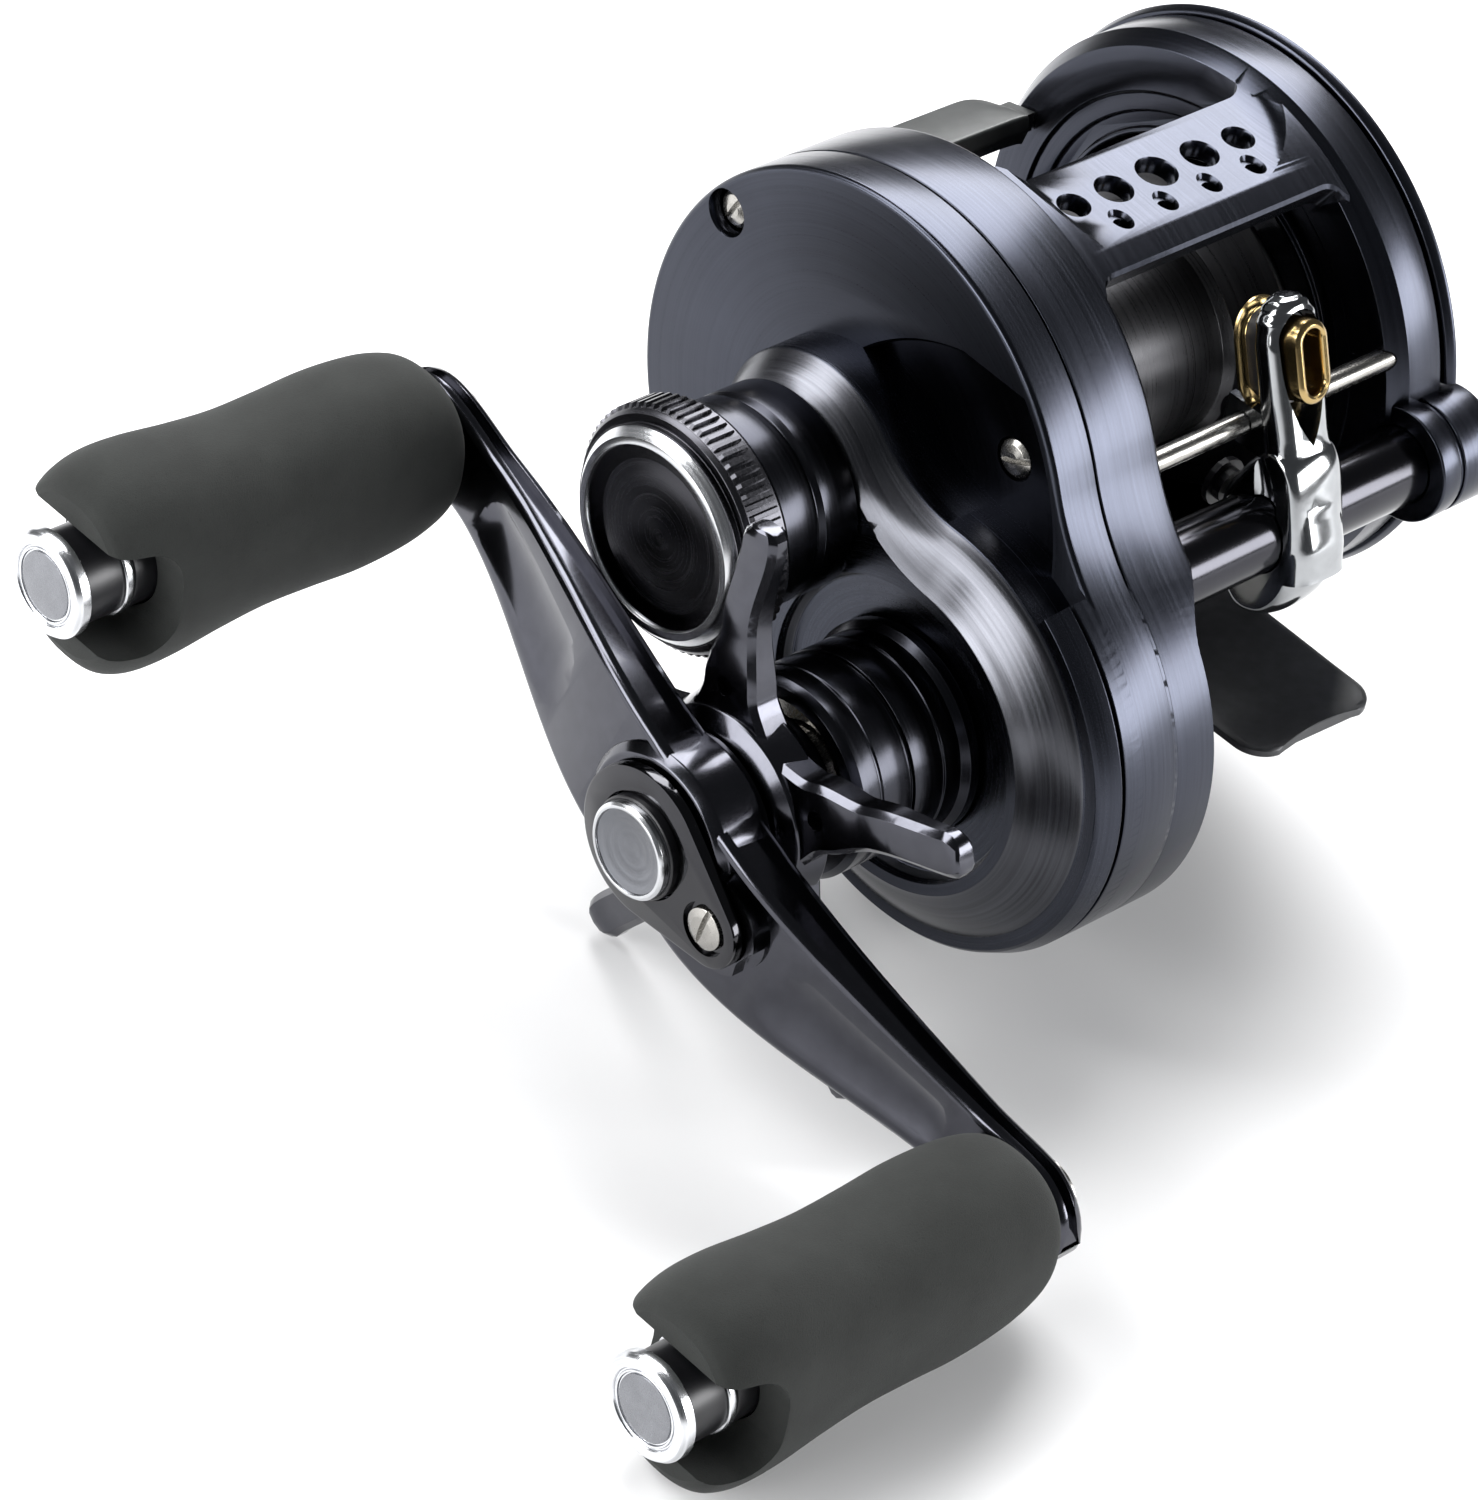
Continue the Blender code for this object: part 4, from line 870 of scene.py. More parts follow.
def build_side_plate():
    body = lobe_loft(edge_levels(-22.25, PLATE_FACE, RING_R, BULGE_R, BULGE_FILLET, 0.12, 0.55, 6))
    drum = turned([(-21.1, 0.0), (-21.1, BULGE_R - 0.02), (BULGE_FACE, BULGE_R - 0.02),
                   (BULGE_FACE, 0.0)], CRANK, 200, 0.1)
    body = join(body, cut(drum, bulge_sector(BULGE_FACE - 1.0, PLATE_FACE)))
    throat = lobe_loft([(-22.6, 5.0, 17.8, 12.0), (BULGE_FACE - 1.0, 5.0, 17.8, 12.0)],
                       (40, 60, 14))
    tools = [cavity(-20.9, -23.6), throat, pocket_cutter()]
    for y, z, deep, _ in PLATE_SCREWS:
        tools.append(turned([(deep - 0.9, 0.0), (deep - 0.9, SCREW_SEAT_R),
                             (PLATE_FACE + 0.35, SCREW_SEAT_R), (PLATE_FACE - 0.2, SCREW_SINK_R),
                             (PLATE_FACE - 3.0, SCREW_SINK_R), (PLATE_FACE - 3.0, 0.0)],
                            (y, z), 48, 0.0))
    cover = place("crank_cover", cut(body, *tools), [body_flat, body_axis, pocket_painted_shade], "reel",
                  ["handle_side_plate"], clean=True)
    # Faces sunk deeper than the plate's face take the third material, a darker copy of the body's anodise: painted
    # shade on the pocket's floor.
    for face in cover.data.polygons:
        x = (face.center.x - SHIFT.x) / MM
        if abs(face.normal.x) < 0.97:
            face.material_index = 1
        elif x > PLATE_FACE + 1.0:
            face.material_index = 2
    for index, (y, z, deep, turn) in enumerate(PLATE_SCREWS):
        build_cover_screw(str(index + 1), (y, z), deep, math.radians(turn))


def screw_slot(start, end, half, length, spot, turn):
    """Cutter for a straight slot across a screw's head."""
    slot = box((start, -half, -length), (end, half, length))
    slot.transform(Matrix.Translation((0.0, *spot)) @ Matrix.Rotation(turn, 4, "X"))
    return slot


def build_cover_screw(label, spot, deep, turn):
    """Cheese-head screw: domed head, soft rim and one straight slot."""
    r = SCREW_R
    dome = turned([(deep - 1.2, 0.0), (deep - 1.2, r), (deep - 1.75, r), (deep - 2.1, r * 0.78),
                   (deep - 2.3, r * 0.4), (deep - 2.35, 0.0)], spot, 48, 0.1)
    slot = screw_slot(deep - 3.2, deep - 1.75, 0.24, r + 0.5, spot, turn)
    place("cover_screw_" + label, cut(dome, slot), steel, "reel", ["plate_screw_" + label],
          bevel=0.04)


def build_gear_housing():
    levels = [(-24.8, 11.0, HOUSING_R, 14.0), (HOUSING_RIM + 0.12, 11.0, HOUSING_R, 14.0),
              (HOUSING_RIM, 10.95, HOUSING_R - 0.05, 14.05)]
    for step in range(13):
        share = step / 12.0
        inward = 4.75 * share
        levels.append((HOUSING_RIM - 0.12 - 3.0 * share - 0.22 * math.sin(math.pi * share),
                       10.85 - 0.55 * inward, HOUSING_R - 0.15 - inward, 14.15 + 0.52 * inward))
    levels.append((HOUSING_TOP, 8.1, 15.1, 16.75))
    body = lobe_loft(levels, (80, 120, 30))
    skirt = turned([(-28.45, 0.0), (-28.45, BULGE_R - 0.15), (-28.7, BULGE_R - 0.02),
                    (-30.5, BULGE_R - 0.75), (-30.8, BULGE_R - 1.05), (-30.8, 0.0)],
                   CRANK, 200, 0.1)
    body = join(body, cut(skirt, bulge_sector(HOUSING_RIM - 1.0, BULGE_FACE)))
    inside = lobe_loft([(-24.0, 4.4, 17.0, 12.0), (-31.6, 4.4, 14.0, 12.0)], (30, 50, 12))
    # This part of the seat stays solid, so that the cap's wall reaches into the pocket.
    wall = spool_sector(HOUSING_R - 2.5, -74.0, 121.0, -19.0, -29.0)
    seat = cut(rod(-20.0, -28.45, BULGE_R + 0.3, CRANK, 120), wall)
    recess = turned([(-29.0, 0.0), (-29.0, 6.2), (-32.6, 6.2), (-32.6, 13.4),
                     (-33.2, 13.9), (-35.0, 14.2), (-35.0, 0.0)], CRANK, 120, 0.3)
    body = cut(body, seat, inside, recess, rod(-25.0, -35.0, 5.7))
    cap = place("gear_box_cap", body, [body_crank, band_metal], "reel", ["gear_housing"],
                clean=True)
    for face in cap.data.polygons:
        x = (face.center.x - SHIFT.x) / MM
        if HOUSING_TOP < x < HOUSING_RIM - 0.1 and -0.9 < face.normal.x < -0.3:
            face.material_index = 1


def build_crank_sleeve():
    sleeve = turned([(-32.9, 7.4), (-32.9, 9.8), (-33.9, 9.8), (-34.5, 9.2), (-36.3, 9.2),
                     (-36.4, 9.05), (-36.6, 9.05), (-36.7, 9.2), (-39.8, 9.2),
                     (-39.8, 8.85), (-40.4, 8.85), (-40.4, 9.2), (-43.4, 9.2), (-43.5, 9.05),
                     (-43.7, 9.05), (-43.8, 9.2), (-45.6, 9.2), (-46.2, 8.6), (-46.2, 7.4)],
                    CRANK, 120, 0.07)
    place("clutch_sleeve", sleeve, dark_turned, "reel", ["clutch_housing"])


# ---------------------------------------------------------------- spool

def build_spool():
    profile = [(-13.9, 1.65), (-13.9, 8.0), (-13.6, 12.0), (-13.2, 15.2), (-12.9, 15.6),
               (-12.4, 15.55), (-11.9, 14.0), (-11.2, 12.0), (-10.4, 10.6), (-9.4, 10.0),
               (9.4, 10.0), (10.4, 10.6), (11.2, 12.0), (11.9, 14.0), (12.4, 15.55), (12.9, 15.6),
               (13.2, 15.2), (13.6, 12.0), (13.9, 8.0), (13.9, 1.65)]
    place("line_spool", turned(profile, sides=160, radius=0.25), spool_metal, "spool_unit",
          ["spool"])


# ---------------------------------------------------------------- cast control

def build_cast_control():
    post = turned([(-31.5, 4.4), (-31.5, 5.4), (-34.3, 5.4), (-34.3, 9.3), (-38.0, 9.3),
                   (-38.4, 8.8), (-39.0, 9.3), (-42.8, 9.3), (-42.8, 7.4), (-46.0, 7.4),
                   (-46.0, 6.0), (-41.7, 6.0), (-41.7, 4.4)], sides=120, radius=0.1)
    place("cast_collar", post, dark_axis, "reel", ["cast_control_post"])
    grip = turned([(-46.4, 0.0), (-46.4, 7.7), (-43.4, 7.7), (-43.4, 10.6), (-43.8, 10.85),
                   (-47.3, 10.85), (-47.7, 10.5), (-47.7, 9.7), (-48.2, 9.7), (-48.35, 9.85),
                   (-48.45, 9.85), (-48.45, 0.0)], sides=160, radius=0.1)
    teeth = knurl(72, 10.75, 11.24, -43.9, -47.25)
    place("cast_knob_grip", join(grip, teeth), knurl_metal, "cast_control", ["cast_control_knob"])
    bezel = turned([(-48.3, 8.2), (-48.3, 9.87), (-49.2, 8.98), (-49.2, 8.3), (-48.9, 8.2)],
                   sides=160, radius=0.06)
    place("cast_knob_bezel", bezel, silver_axis, "cast_control", [])
    rim = 8.25
    dish = [(-47.0, 0.0), (-47.0, rim)]
    for index in range(9):
        r = rim * (1 - index / 8)
        dish.append((-48.75 + 1.1 * (1 - (r / rim) ** 2) * 0.9, r))
    place("cast_knob_face", turned(dish, sides=160, radius=0.0), dish_metal, "cast_control", [])


def knurl(count, inner, outer, start, end):
    """Straight knurling: a ring of pointed ribs with ends that slope down."""
    root = 9.9
    slope = math.copysign(0.35, end - start)
    pitch = math.tau / count
    sections = []
    for x, top in ((start, inner), (start + slope, outer), (end - slope, outer), (end, inner)):
        section = []
        for index in range(count):
            for share, r in ((0.0, inner), (0.16, top), (0.5, top), (0.66, inner)):
                spot = polar(AXIS, r, index * pitch + share * pitch)
                section.append((x, spot.x, spot.y))
        sections.append(section)
    for section in (sections[-1], sections[0]):
        below = [polar(AXIS, root, math.atan2(z, y)) for _, y, z in section]
        sections.append([(section[0][0], spot.x, spot.y) for spot in below])
    return loft(sections, hoop=True)


# ---------------------------------------------------------------- star and handle

def along_arm(distance, sideways=0.0):
    """A point of (y, z) at a distance along the handle arm from the crank."""
    out = Vector((math.cos(ARM_TILT), math.sin(ARM_TILT)))
    side = Vector((-out.y, out.x))
    return CRANK + out * distance + side * sideways


STAR_ANGLES = [math.radians(79.0 + 72.0 * index) for index in range(5)]


def star_arm(angle):
    """One tapered, swept and raised arm, from (r, half width, middle, thickness, sweep) rows."""
    table = [(6.5, 5.0, -51.3, 3.6, 0.0), (11.5, 3.1, -51.4, 3.3, 0.0),
             (17.0, 2.0, -51.2, 2.8, 0.03), (25.3, 2.0, -50.8, 2.2, 0.08),
             (26.0, 1.8, -50.8, 2.1, 0.085),
             (26.5, 1.3, -50.8, 1.9, 0.088), (26.7, 0.7, -50.8, 1.5, 0.09)]
    radii = [6.5 + 0.5 * step for step in range(38)] + [25.3, 25.7, 26.0, 26.3, 26.5, 26.7]
    sections = []
    for r in radii:
        half, mid, thick, swirl = curve_at(table, r)
        heading = angle + swirl
        centre = polar(CRANK, r, heading)
        across = Vector((-math.sin(heading), math.cos(heading)))
        edge = min(0.3 * half, 0.55)
        top = thick / 2
        section = []
        for w, x in ((-half, edge - top), (-half, top - edge), (edge - half, top),
                     (half - edge, top), (half, top - edge), (half, edge - top),
                     (half - edge, -top), (0.0, -1.132 * top), (edge - half, -top)):
            spot = centre + across * w
            section.append((mid + x, spot.x, spot.y))
        sections.append(section)
    return loft(sections)


def build_star():
    hub = turned([(-54.4, 3.1), (-54.4, 7.6), (-53.4, 9.2), (-50.4, 9.8), (-49.3, 9.0),
                  (-49.3, 6.6), (-46.5, 6.6), (-46.5, 5.4), (-49.6, 5.4), (-49.6, 3.1)],
                 CRANK, 120, 0.35)
    arms = [star_arm(angle) for angle in STAR_ANGLES]
    bores = [rod(-60.0, -51.6, 0.9, polar(CRANK, 11.6, angle), 32) for angle in STAR_ANGLES]
    place("star_wheel", cut(join(hub, *arms), *bores), gunmetal, "star", ["star_drag"],
          clean=True, bevel=0.18, segments=3)


def arm_outline(s):
    """Half width, outer and inner face of the handle arm at a distance from the crank."""
    away = abs(s)
    hub = 1.0 - ease(away, 5.0, 40.0)
    half = 4.3 + 3.2 * hub + 0.7 * ease(away, 34.0, THROW)
    tip = away - (THROW - 0.5)
    if tip > 0.0:
        half = min(half, 5.0 * math.sqrt(max(1.0 - (tip / 5.75) ** 2, 0.0)))
    outer = -54.0 - 6.7 * hub
    inner = -51.3 - 4.3 * hub
    return half, outer, inner


def arm_sweep(s):
    """How far the handle arm's middle line bows sideways."""
    return 1.3 * math.sin(math.pi * s / THROW) if abs(s) < THROW else 0.0


def arm_sections():
    """Outlines across the handle arm, each with four rounded corners."""
    sections = []
    reach = THROW + 5.2
    count = 150
    turns = [turn / 4.0 * math.pi / 2 for turn in range(5)]
    for step in range(count + 1):
        s = -reach + 2 * reach * step / count
        half, outer, inner = arm_outline(s)
        half = max(half, 0.4)
        edge = min(0.9, 0.4 * half)
        section = []
        for w, x, side, lift, rising in ((-half, inner - edge, edge, edge, True),
                                         (-half, outer + edge, edge, -edge, False),
                                         (half, outer + edge, -edge, -edge, False),
                                         (half, inner - edge, -edge, edge, True)):
            for turn in turns:
                a, b = math.cos(turn), math.sin(turn)
                if rising:
                    a, b = b, a
                spot = along_arm(s, w + side * (1 - a) + arm_sweep(s))
                section.append((x + lift * b, spot.x, spot.y))
        sections.append(section)
    return sections


def arm_pocket(side):
    """Long shallow dish cut into the outer face of one half of the handle arm."""
    sections = []
    count = 50
    first = 12.5
    last = THROW - 7.0
    for step in range(count + 1):
        away = first + (last - first) * step / count
        s = side * away
        half, outer, _ = arm_outline(s)
        sweep = arm_sweep(s)
        end = min((away - first) / 6.0, (last - away) / 4.0, 1.0)
        width = max((half - 1.5) * math.sqrt(max(1.0 - (1.0 - end) ** 2, 0.0)), 0.15)
        deep = 0.9 * ease(end, 0.0, 1.0) + 0.02
        section = []
        for turn in range(13):
            t = -1.0 + turn / 6.0
            spot = along_arm(s, sweep + width * t)
            section.append((outer + deep * (1.0 - t * t), spot.x, spot.y))
        for t in (1.0, -1.0):
            spot = along_arm(s, sweep + width * t)
            section.append((outer - 3.0, spot.x, spot.y))
        sections.append(section)
    return loft(sections)


def build_arm():
    arm = loft(arm_sections())
    hub = turned([(-61.0, 0.0), (-61.0, 7.6), (-60.2, 8.4), (-56.0, 8.6), (-55.0, 8.0),
                  (-55.0, 0.0)], CRANK, 160, 0.4)
    lug = rod(-61.1, -57.0, 4.6, along_arm(-LOCK_FAR), 96)
    tools = [rod(-70.0, -50.0, 3.1, CRANK, 64), rod(-70.0, -59.4, 1.5, along_arm(-LOCK_FAR))]
    for side in (1.0, -1.0):
        tools.append(rod(-70.0, -45.0, 2.5, along_arm(side * THROW), 64))
        tools.append(arm_pocket(side))
    body = cut(join(arm, hub, lug), *tools)
    place("crank_arm", body, gunmetal, "crank", ["handle_arm"], clean=True)


def teardrop(body, lug):
    """Outline round the nut drawn out to the lug that holds the screw."""
    start = ARM_TILT + math.pi
    turn = math.pi / 2 - math.asin((body - lug) / LOCK_FAR)
    points = arc(CRANK, body, start + turn, start + math.tau - turn, 70)
    return points + arc(along_arm(-LOCK_FAR), lug, start - turn, start + turn, 40)


def build_hub_parts():
    nut = turned([(-61.3, 3.3), (-61.3, 4.34), (-63.75, 4.34), (-64.0, 4.1), (-64.0, 3.85),
                  (-63.85, 3.8), (-63.2, 3.75), (-61.9, 3.75), (-61.9, 3.3)], CRANK, 120, 0.05)
    place("nut_rim", nut, silver_crank, "crank", ["handle_nut"])
    rim = 3.78
    dish = [(-61.9, 0.0), (-61.9, rim)]
    for index in range(13):
        r = rim * (1 - index / 12)
        groove = 0.05 if index in (2, 5, 8) else 0.0
        dish.append((-63.75 + 0.55 * (1 - (r / rim) ** 2) + groove, r))
    place("nut_face", turned(dish, CRANK, 120, 0.0), dish_crank, "crank", [])
    skirt = turned([(-61.35, 4.36), (-61.35, 4.62), (-63.0, 4.62), (-63.1, 4.5), (-63.1, 4.36)],
                   CRANK, 120, 0.04)
    place("nut_skirt", skirt, black, "crank", [])
    levels = [(-61.4, 0.0), (-62.1, 0.0), (-62.32, 0.08), (-62.4, 0.28)]
    plate = loft([[(x, p.x, p.y) for p in teardrop(7.1 - inset, 3.6 - inset)]
                  for x, inset in levels])
    spot = along_arm(-LOCK_FAR)
    plate = cut(plate, rod(-70.0, -50.0, 4.85, CRANK, 96), rod(-70.0, -61.9, 2.45, spot),
                rod(-70.0, -60.0, 1.3, spot))
    place("nut_lock", plate, gloss_black, "crank", ["nut_retainer"], clean=True)
    head = turned([(-59.7, 0.0), (-59.7, 1.15), (-61.95, 1.15), (-61.95, 2.0), (-62.4, 1.9),
                   (-62.65, 1.2), (-62.75, 0.0)], spot, 64, 0.08)
    slot = screw_slot(-63.5, -62.3, 0.26, 2.5, spot, 0.15)
    place("lock_screw", cut(head, slot), steel, "crank", ["retainer_screw"], bevel=0.03)


# ---------------------------------------------------------------- knobs

# The grip as (x, half height, half width).
KNOB_PROFILE = [(-54.4, 5.0, 4.8), (-54.7, 5.9, 5.5), (-55.4, 6.9, 6.2), (-57.0, 7.9, 6.7),
                (-60.0, 8.75, 7.1), (-65.0, 9.15, 7.3), (-70.0, 8.9, 7.2), (-75.0, 8.8, 7.15),
                (-80.0, 9.3, 7.3), (-85.0, 9.95, 7.6), (-88.5, 10.0, 7.55), (-90.8, 9.3, 7.2),
                (-92.0, 8.2, 6.7), (-92.4, 7.3, 6.1)]


def knob_size(x):
    """Half height and half width of the grip at a place along it, by a smooth spline."""
    table = KNOB_PROFILE
    index = 0
    while index < len(table) - 2 and x < table[index + 1][0]:
        index += 1
    low, high = table[index], table[index + 1]
    before, after = table[max(index - 1, 0)], table[min(index + 2, len(table) - 1)]
    gap = high[0] - low[0]
    t = (x - low[0]) / gap
    sizes = []
    for column in (1, 2):
        slope_low = (high[column] - before[column]) / (high[0] - before[0])
        slope_high = (after[column] - low[column]) / (after[0] - low[0])
        sizes.append((2 * t ** 3 - 3 * t ** 2 + 1) * low[column]
                     + (t ** 3 - 2 * t ** 2 + t) * gap * slope_low
                     + (-2 * t ** 3 + 3 * t ** 2) * high[column]
                     + (t ** 3 - t ** 2) * gap * slope_high)
    return sizes


def build_knob(label, spot, silver):
    """Foam grip, its cap's barrel, hoop, neck, ring and disc, and the post it turns on."""
    rider = "knob_" + label
    sections = []
    count = 90
    first = KNOB_PROFILE[0][0]
    last = KNOB_PROFILE[-1][0]
    for step in range(count + 1):
        x = first + (last - first) * (0.5 - 0.5 * math.cos(math.pi * step / count))
        height, width = knob_size(x)
        section = []
        for index in range(96):
            y, z = squared(math.tau * index / 96, GRIP_SQUARE)
            section.append((x, spot.x + width * y, spot.y + height * z))
        sections.append(section)
    bore = turned([(-50.0, 0.0), (-50.0, 2.2), (-55.6, 2.2), (-55.6, 4.4), (-58.0, 4.4),
                   (-58.0, 2.2), (-83.0, 2.2), (-83.0, 4.35), (-96.0, 4.35), (-96.0, 0.0)],
                  spot, 96, 0.0)
    grip = cut(loft(sections), bore, knob_saddle(spot))
    place("grip_" + label, grip, foam, rider, ["handle_knob_" + label], clean=True,
          bevel=0.25, segments=3)
    stack = [
        ("cap_barrel_", black, "black_anodised", ["knob_cap_" + label], rider, 96, 0.05,
         [(-83.3, 0.0), (-83.3, 4.15), (-88.6, 4.15), (-88.7, 4.0), (-88.9, 4.0), (-88.9, 0.0)]),
        ("cap_hoop_", silver, "silver", [], rider, 96, 0.05,
         [(-88.9, 0.0), (-88.9, 4.3), (-89.1, 4.38), (-89.6, 4.38), (-89.75, 4.3),
          (-89.75, 0.0)]),
        ("cap_neck_", black, "black_anodised", [], rider, 96, 0.1,
         [(-89.75, 0.0), (-89.75, 4.1), (-93.55, 4.1), (-93.55, 0.0)]),
        ("cap_ring_", silver, "silver", [], rider, 128, 0.05,
         [(-93.5, 0.0), (-93.5, 4.55), (-93.65, 4.7), (-94.45, 4.7), (-94.9, 4.4), (-94.9, 3.6),
          (-94.75, 3.5), (-94.65, 3.5), (-94.65, 3.35), (-94.8, 3.3), (-94.8, 3.15),
          (-94.6, 3.1), (-94.6, 0.0)]),
        ("cap_disc_", cap_face, "black_anodised", [], rider, 96, 0.05,
         [(-94.5, 0.0), (-94.5, 3.0), (-94.75, 2.95), (-94.8, 2.6), (-94.78, 0.0)]),
        ("knob_post_", steel, "steel", ["knob_shaft_" + label], "crank", 72, 0.05,
         [(-50.3, 0.0), (-50.3, 3.3), (-50.4, 3.4), (-51.0, 3.4), (-51.0, 2.4), (-54.1, 2.4),
          (-54.1, 2.0), (-88.0, 2.0), (-88.0, 0.0)]),
    ]
    for name, material, slot, nodes, body, sides, radius, profile in stack:
        place(name + label, turned(profile, spot, sides, radius), material, body, nodes)


def knob_saddle(spot):
    """Opening across the grip's outer end, with round inner corners."""
    half = 5.2
    start = -86.6
    corner = 3.2
    outer = -97.0
    inner = [(start - corner + corner * math.sin(t), -half + corner * (1 - math.cos(t)))
             for t in (math.pi / 2 * step / 8 for step in range(9))]
    outline = [(outer, -half)] + inner + [(x, -z) for x, z in reversed(inner)] + [(outer, half)]
    return loft([[(x, spot.x + y, spot.y + z) for x, z in outline] for y in (-14.0, 14.0)])


# ---------------------------------------------------------------- level wind

GUIDE_FOOT = Vector((WORM.x - 3.4, WORM.y))
GUIDE_TOP = Vector((-21.4, 20.6))
GUIDE_UP = (GUIDE_TOP - GUIDE_FOOT).normalized()
GUIDE_BACK = Vector((GUIDE_UP.y, -GUIDE_UP.x))
EYE_SHARE = 0.745
EYE_UP = EYE_SHARE * (GUIDE_TOP - GUIDE_FOOT).length


def on_guide(across, back, up):
    """A point of the line guide: sideways, back from its front line, and up along it."""
    spot = GUIDE_FOOT + GUIDE_UP * up + GUIDE_BACK * back
    return (GUIDE_X + across, spot.x, spot.y)


def oval(half_width, flat, steps=24):
    """Flat-sided oval as (across, up) points round its own middle."""
    points = arc((0.0, flat), half_width, 0.0, math.pi, steps)
    return points + arc((0.0, -flat), half_width, math.pi, math.tau, steps)


def guide_hood():
    """Tapered hood: crowned in front, with rounded sides."""
    table = [(-3.0, 3.2, 2.2, 2.0), (0.0, 3.3, 2.7, 2.2), (3.0, 3.3, 2.6, 2.2),
             (7.0, 3.15, 2.2, 1.9), (10.0, 3.1, 1.95, 1.8), (14.0, 3.2, 1.9, 1.8),
             (18.0, 3.2, 1.9, 1.8), (20.3, 2.85, 1.8, 1.7), (21.4, 2.2, 1.6, 1.5),
             (22.0, 1.5, 1.3, 1.2), (22.35, 0.7, 0.9, 0.8)]
    foot, length = -3.0, 25.35
    sections = []
    for step in range(121):
        up = foot + length * (1.0 - (1.0 - step / 120.0) ** 1.3)
        half, front, rear = curve_at(table, up)
        section = []
        for turn in range(48):
            across, back = squared(math.tau * turn / 48, GUIDE_SQUARE)
            section.append(on_guide(half * across, back * (rear if back > 0 else front), up))
        sections.append(section)
    return loft(sections)


def guide_window(grow):
    """Opening round the eye that runs down to a point: (across, up)."""
    half, drop, top = 2.3 + grow, 9.3 + grow, 18.6
    points = [(p.x, p.y) for p in arc((0.0, top), half, 0.0, math.pi, 24)]
    flank = [(half * (1.0 - (step / 20) ** 2.6), top - drop * step / 20) for step in range(1, 21)]
    points += [(-across, up) for across, up in flank]
    return points + flank[-2::-1]


def guide_body():
    """Lower body that wraps round the tube and hangs below it, crowned from side to side."""
    side = [(-29.0, 8.0), (-30.7, 4.5), (-31.8, 0.8), (-31.9, -2.4), (-31.0, -5.6), (-29.2, -7.9),
            (-26.6, -8.7), (-24.6, -7.4), (-23.0, -4.8), (-21.9, -1.6), (-21.9, 1.6),
            (-23.0, 4.4), (-24.6, 7.0), (-26.6, 9.0)]
    curve = []
    count = len(side)
    for index in range(count):
        a, b, c, d = (Vector(side[(index + k - 1) % count]) for k in range(4))
        for step in range(8):
            t = step / 8.0
            curve.append(0.5 * (2 * b + (c - a) * t + (2 * a - 5 * b + 4 * c - d) * t ** 2
                                + (3 * b - a - 3 * c + d) * t ** 3))
    middle_point = Vector((WORM.x - 0.4, WORM.y))
    sections = []
    for step in range(21):
        turn = math.pi * (step / 20.0 - 0.5)
        x = 3.3 * math.sin(turn)
        inset = 1.45 * (1.0 - max(math.cos(turn), 0.0) ** 0.8)
        section = []
        for point in curve:
            out = point - middle_point
            spot = point - out.normalized() * inset
            section.append((GUIDE_X + x, spot.x, spot.y))
        sections.append(section)
    return loft(sections)


def oval_ring(profile, flat):
    """Sweep a closed (back, radius) profile round the eye's oval."""
    return loft([[on_guide(p.x, back, EYE_UP + p.y) for p in oval(r, flat)]
                 for back, r in profile], hoop=True)


def leaf_scoop():
    """Leaf-shaped hollow in the crank side of the guide's body."""
    bm = bmesh.new()
    bmesh.ops.create_uvsphere(bm, u_segments=32, v_segments=20, radius=1.0)
    bmesh.ops.scale(bm, vec=(1.0, 1.25, 4.3), verts=bm.verts)
    turn = Matrix(((1, 0, 0), (0, GUIDE_BACK.x, GUIDE_UP.x), (0, GUIDE_BACK.y, GUIDE_UP.y)))
    shift = Matrix.Translation(on_guide(-3.55, 1.1, 4.6))
    bmesh.ops.transform(bm, matrix=shift @ turn.to_4x4(), verts=bm.verts)
    return mesh_from(bm)


def build_line_guide():
    window = []
    for back, grow in ((-4.0, 1.1), (-1.7, 0.25), (-0.6, 0.0), (5.0, 0.0)):
        window.append([on_guide(across, back, up) for across, up in guide_window(grow)])
    cross = box((GUIDE_X - 2.6, WORM.x + 0.6, ROD.y - 2.0),
                (GUIDE_X + 2.6, ROD.x + 2.0, ROD.y + 2.0))
    body = join(join(guide_hood(), guide_body()), cross)
    body = cut(body, loft(window), rod(-12.0, 14.0, 3.75, WORM, 96), rod(-12.0, 14.0, 1.12, ROD),
               leaf_scoop())
    place("guide_frame", body, chrome, "guide", ["line_guide"], clean=True)
    flat = 1.75
    eye = [(-2.3, 2.0), (-2.75, 1.95), (-2.98, 1.75), (-3.05, 1.5), (-2.95, 1.25), (-2.7, 1.1),
           (-2.2, 1.05), (1.5, 1.05), (2.6, 1.2), (3.2, 1.7), (3.45, 2.4), (3.4, 2.9),
           (3.2, 3.15), (2.95, 3.1), (2.8, 2.8), (2.7, 2.3), (1.9, 2.0)]
    place("guide_eye", oval_ring(eye, flat), gold, "guide", ["line_guide_eye"])
    insert = [(-0.1, 2.03), (-0.1, 2.28), (2.65, 2.28), (2.65, 2.03)]
    place("guide_insert", oval_ring(insert, flat), black, "guide", [])
    lobe = rod(GUIDE_X - 1.9, GUIDE_X + 1.9, 2.0, ROD + Vector((1.1, -0.3)), 48)
    place("guide_saddle", cut(lobe, rod(-12.0, 14.0, 1.15, ROD)), black, "guide", [],
          bevel=0.3, segments=3)


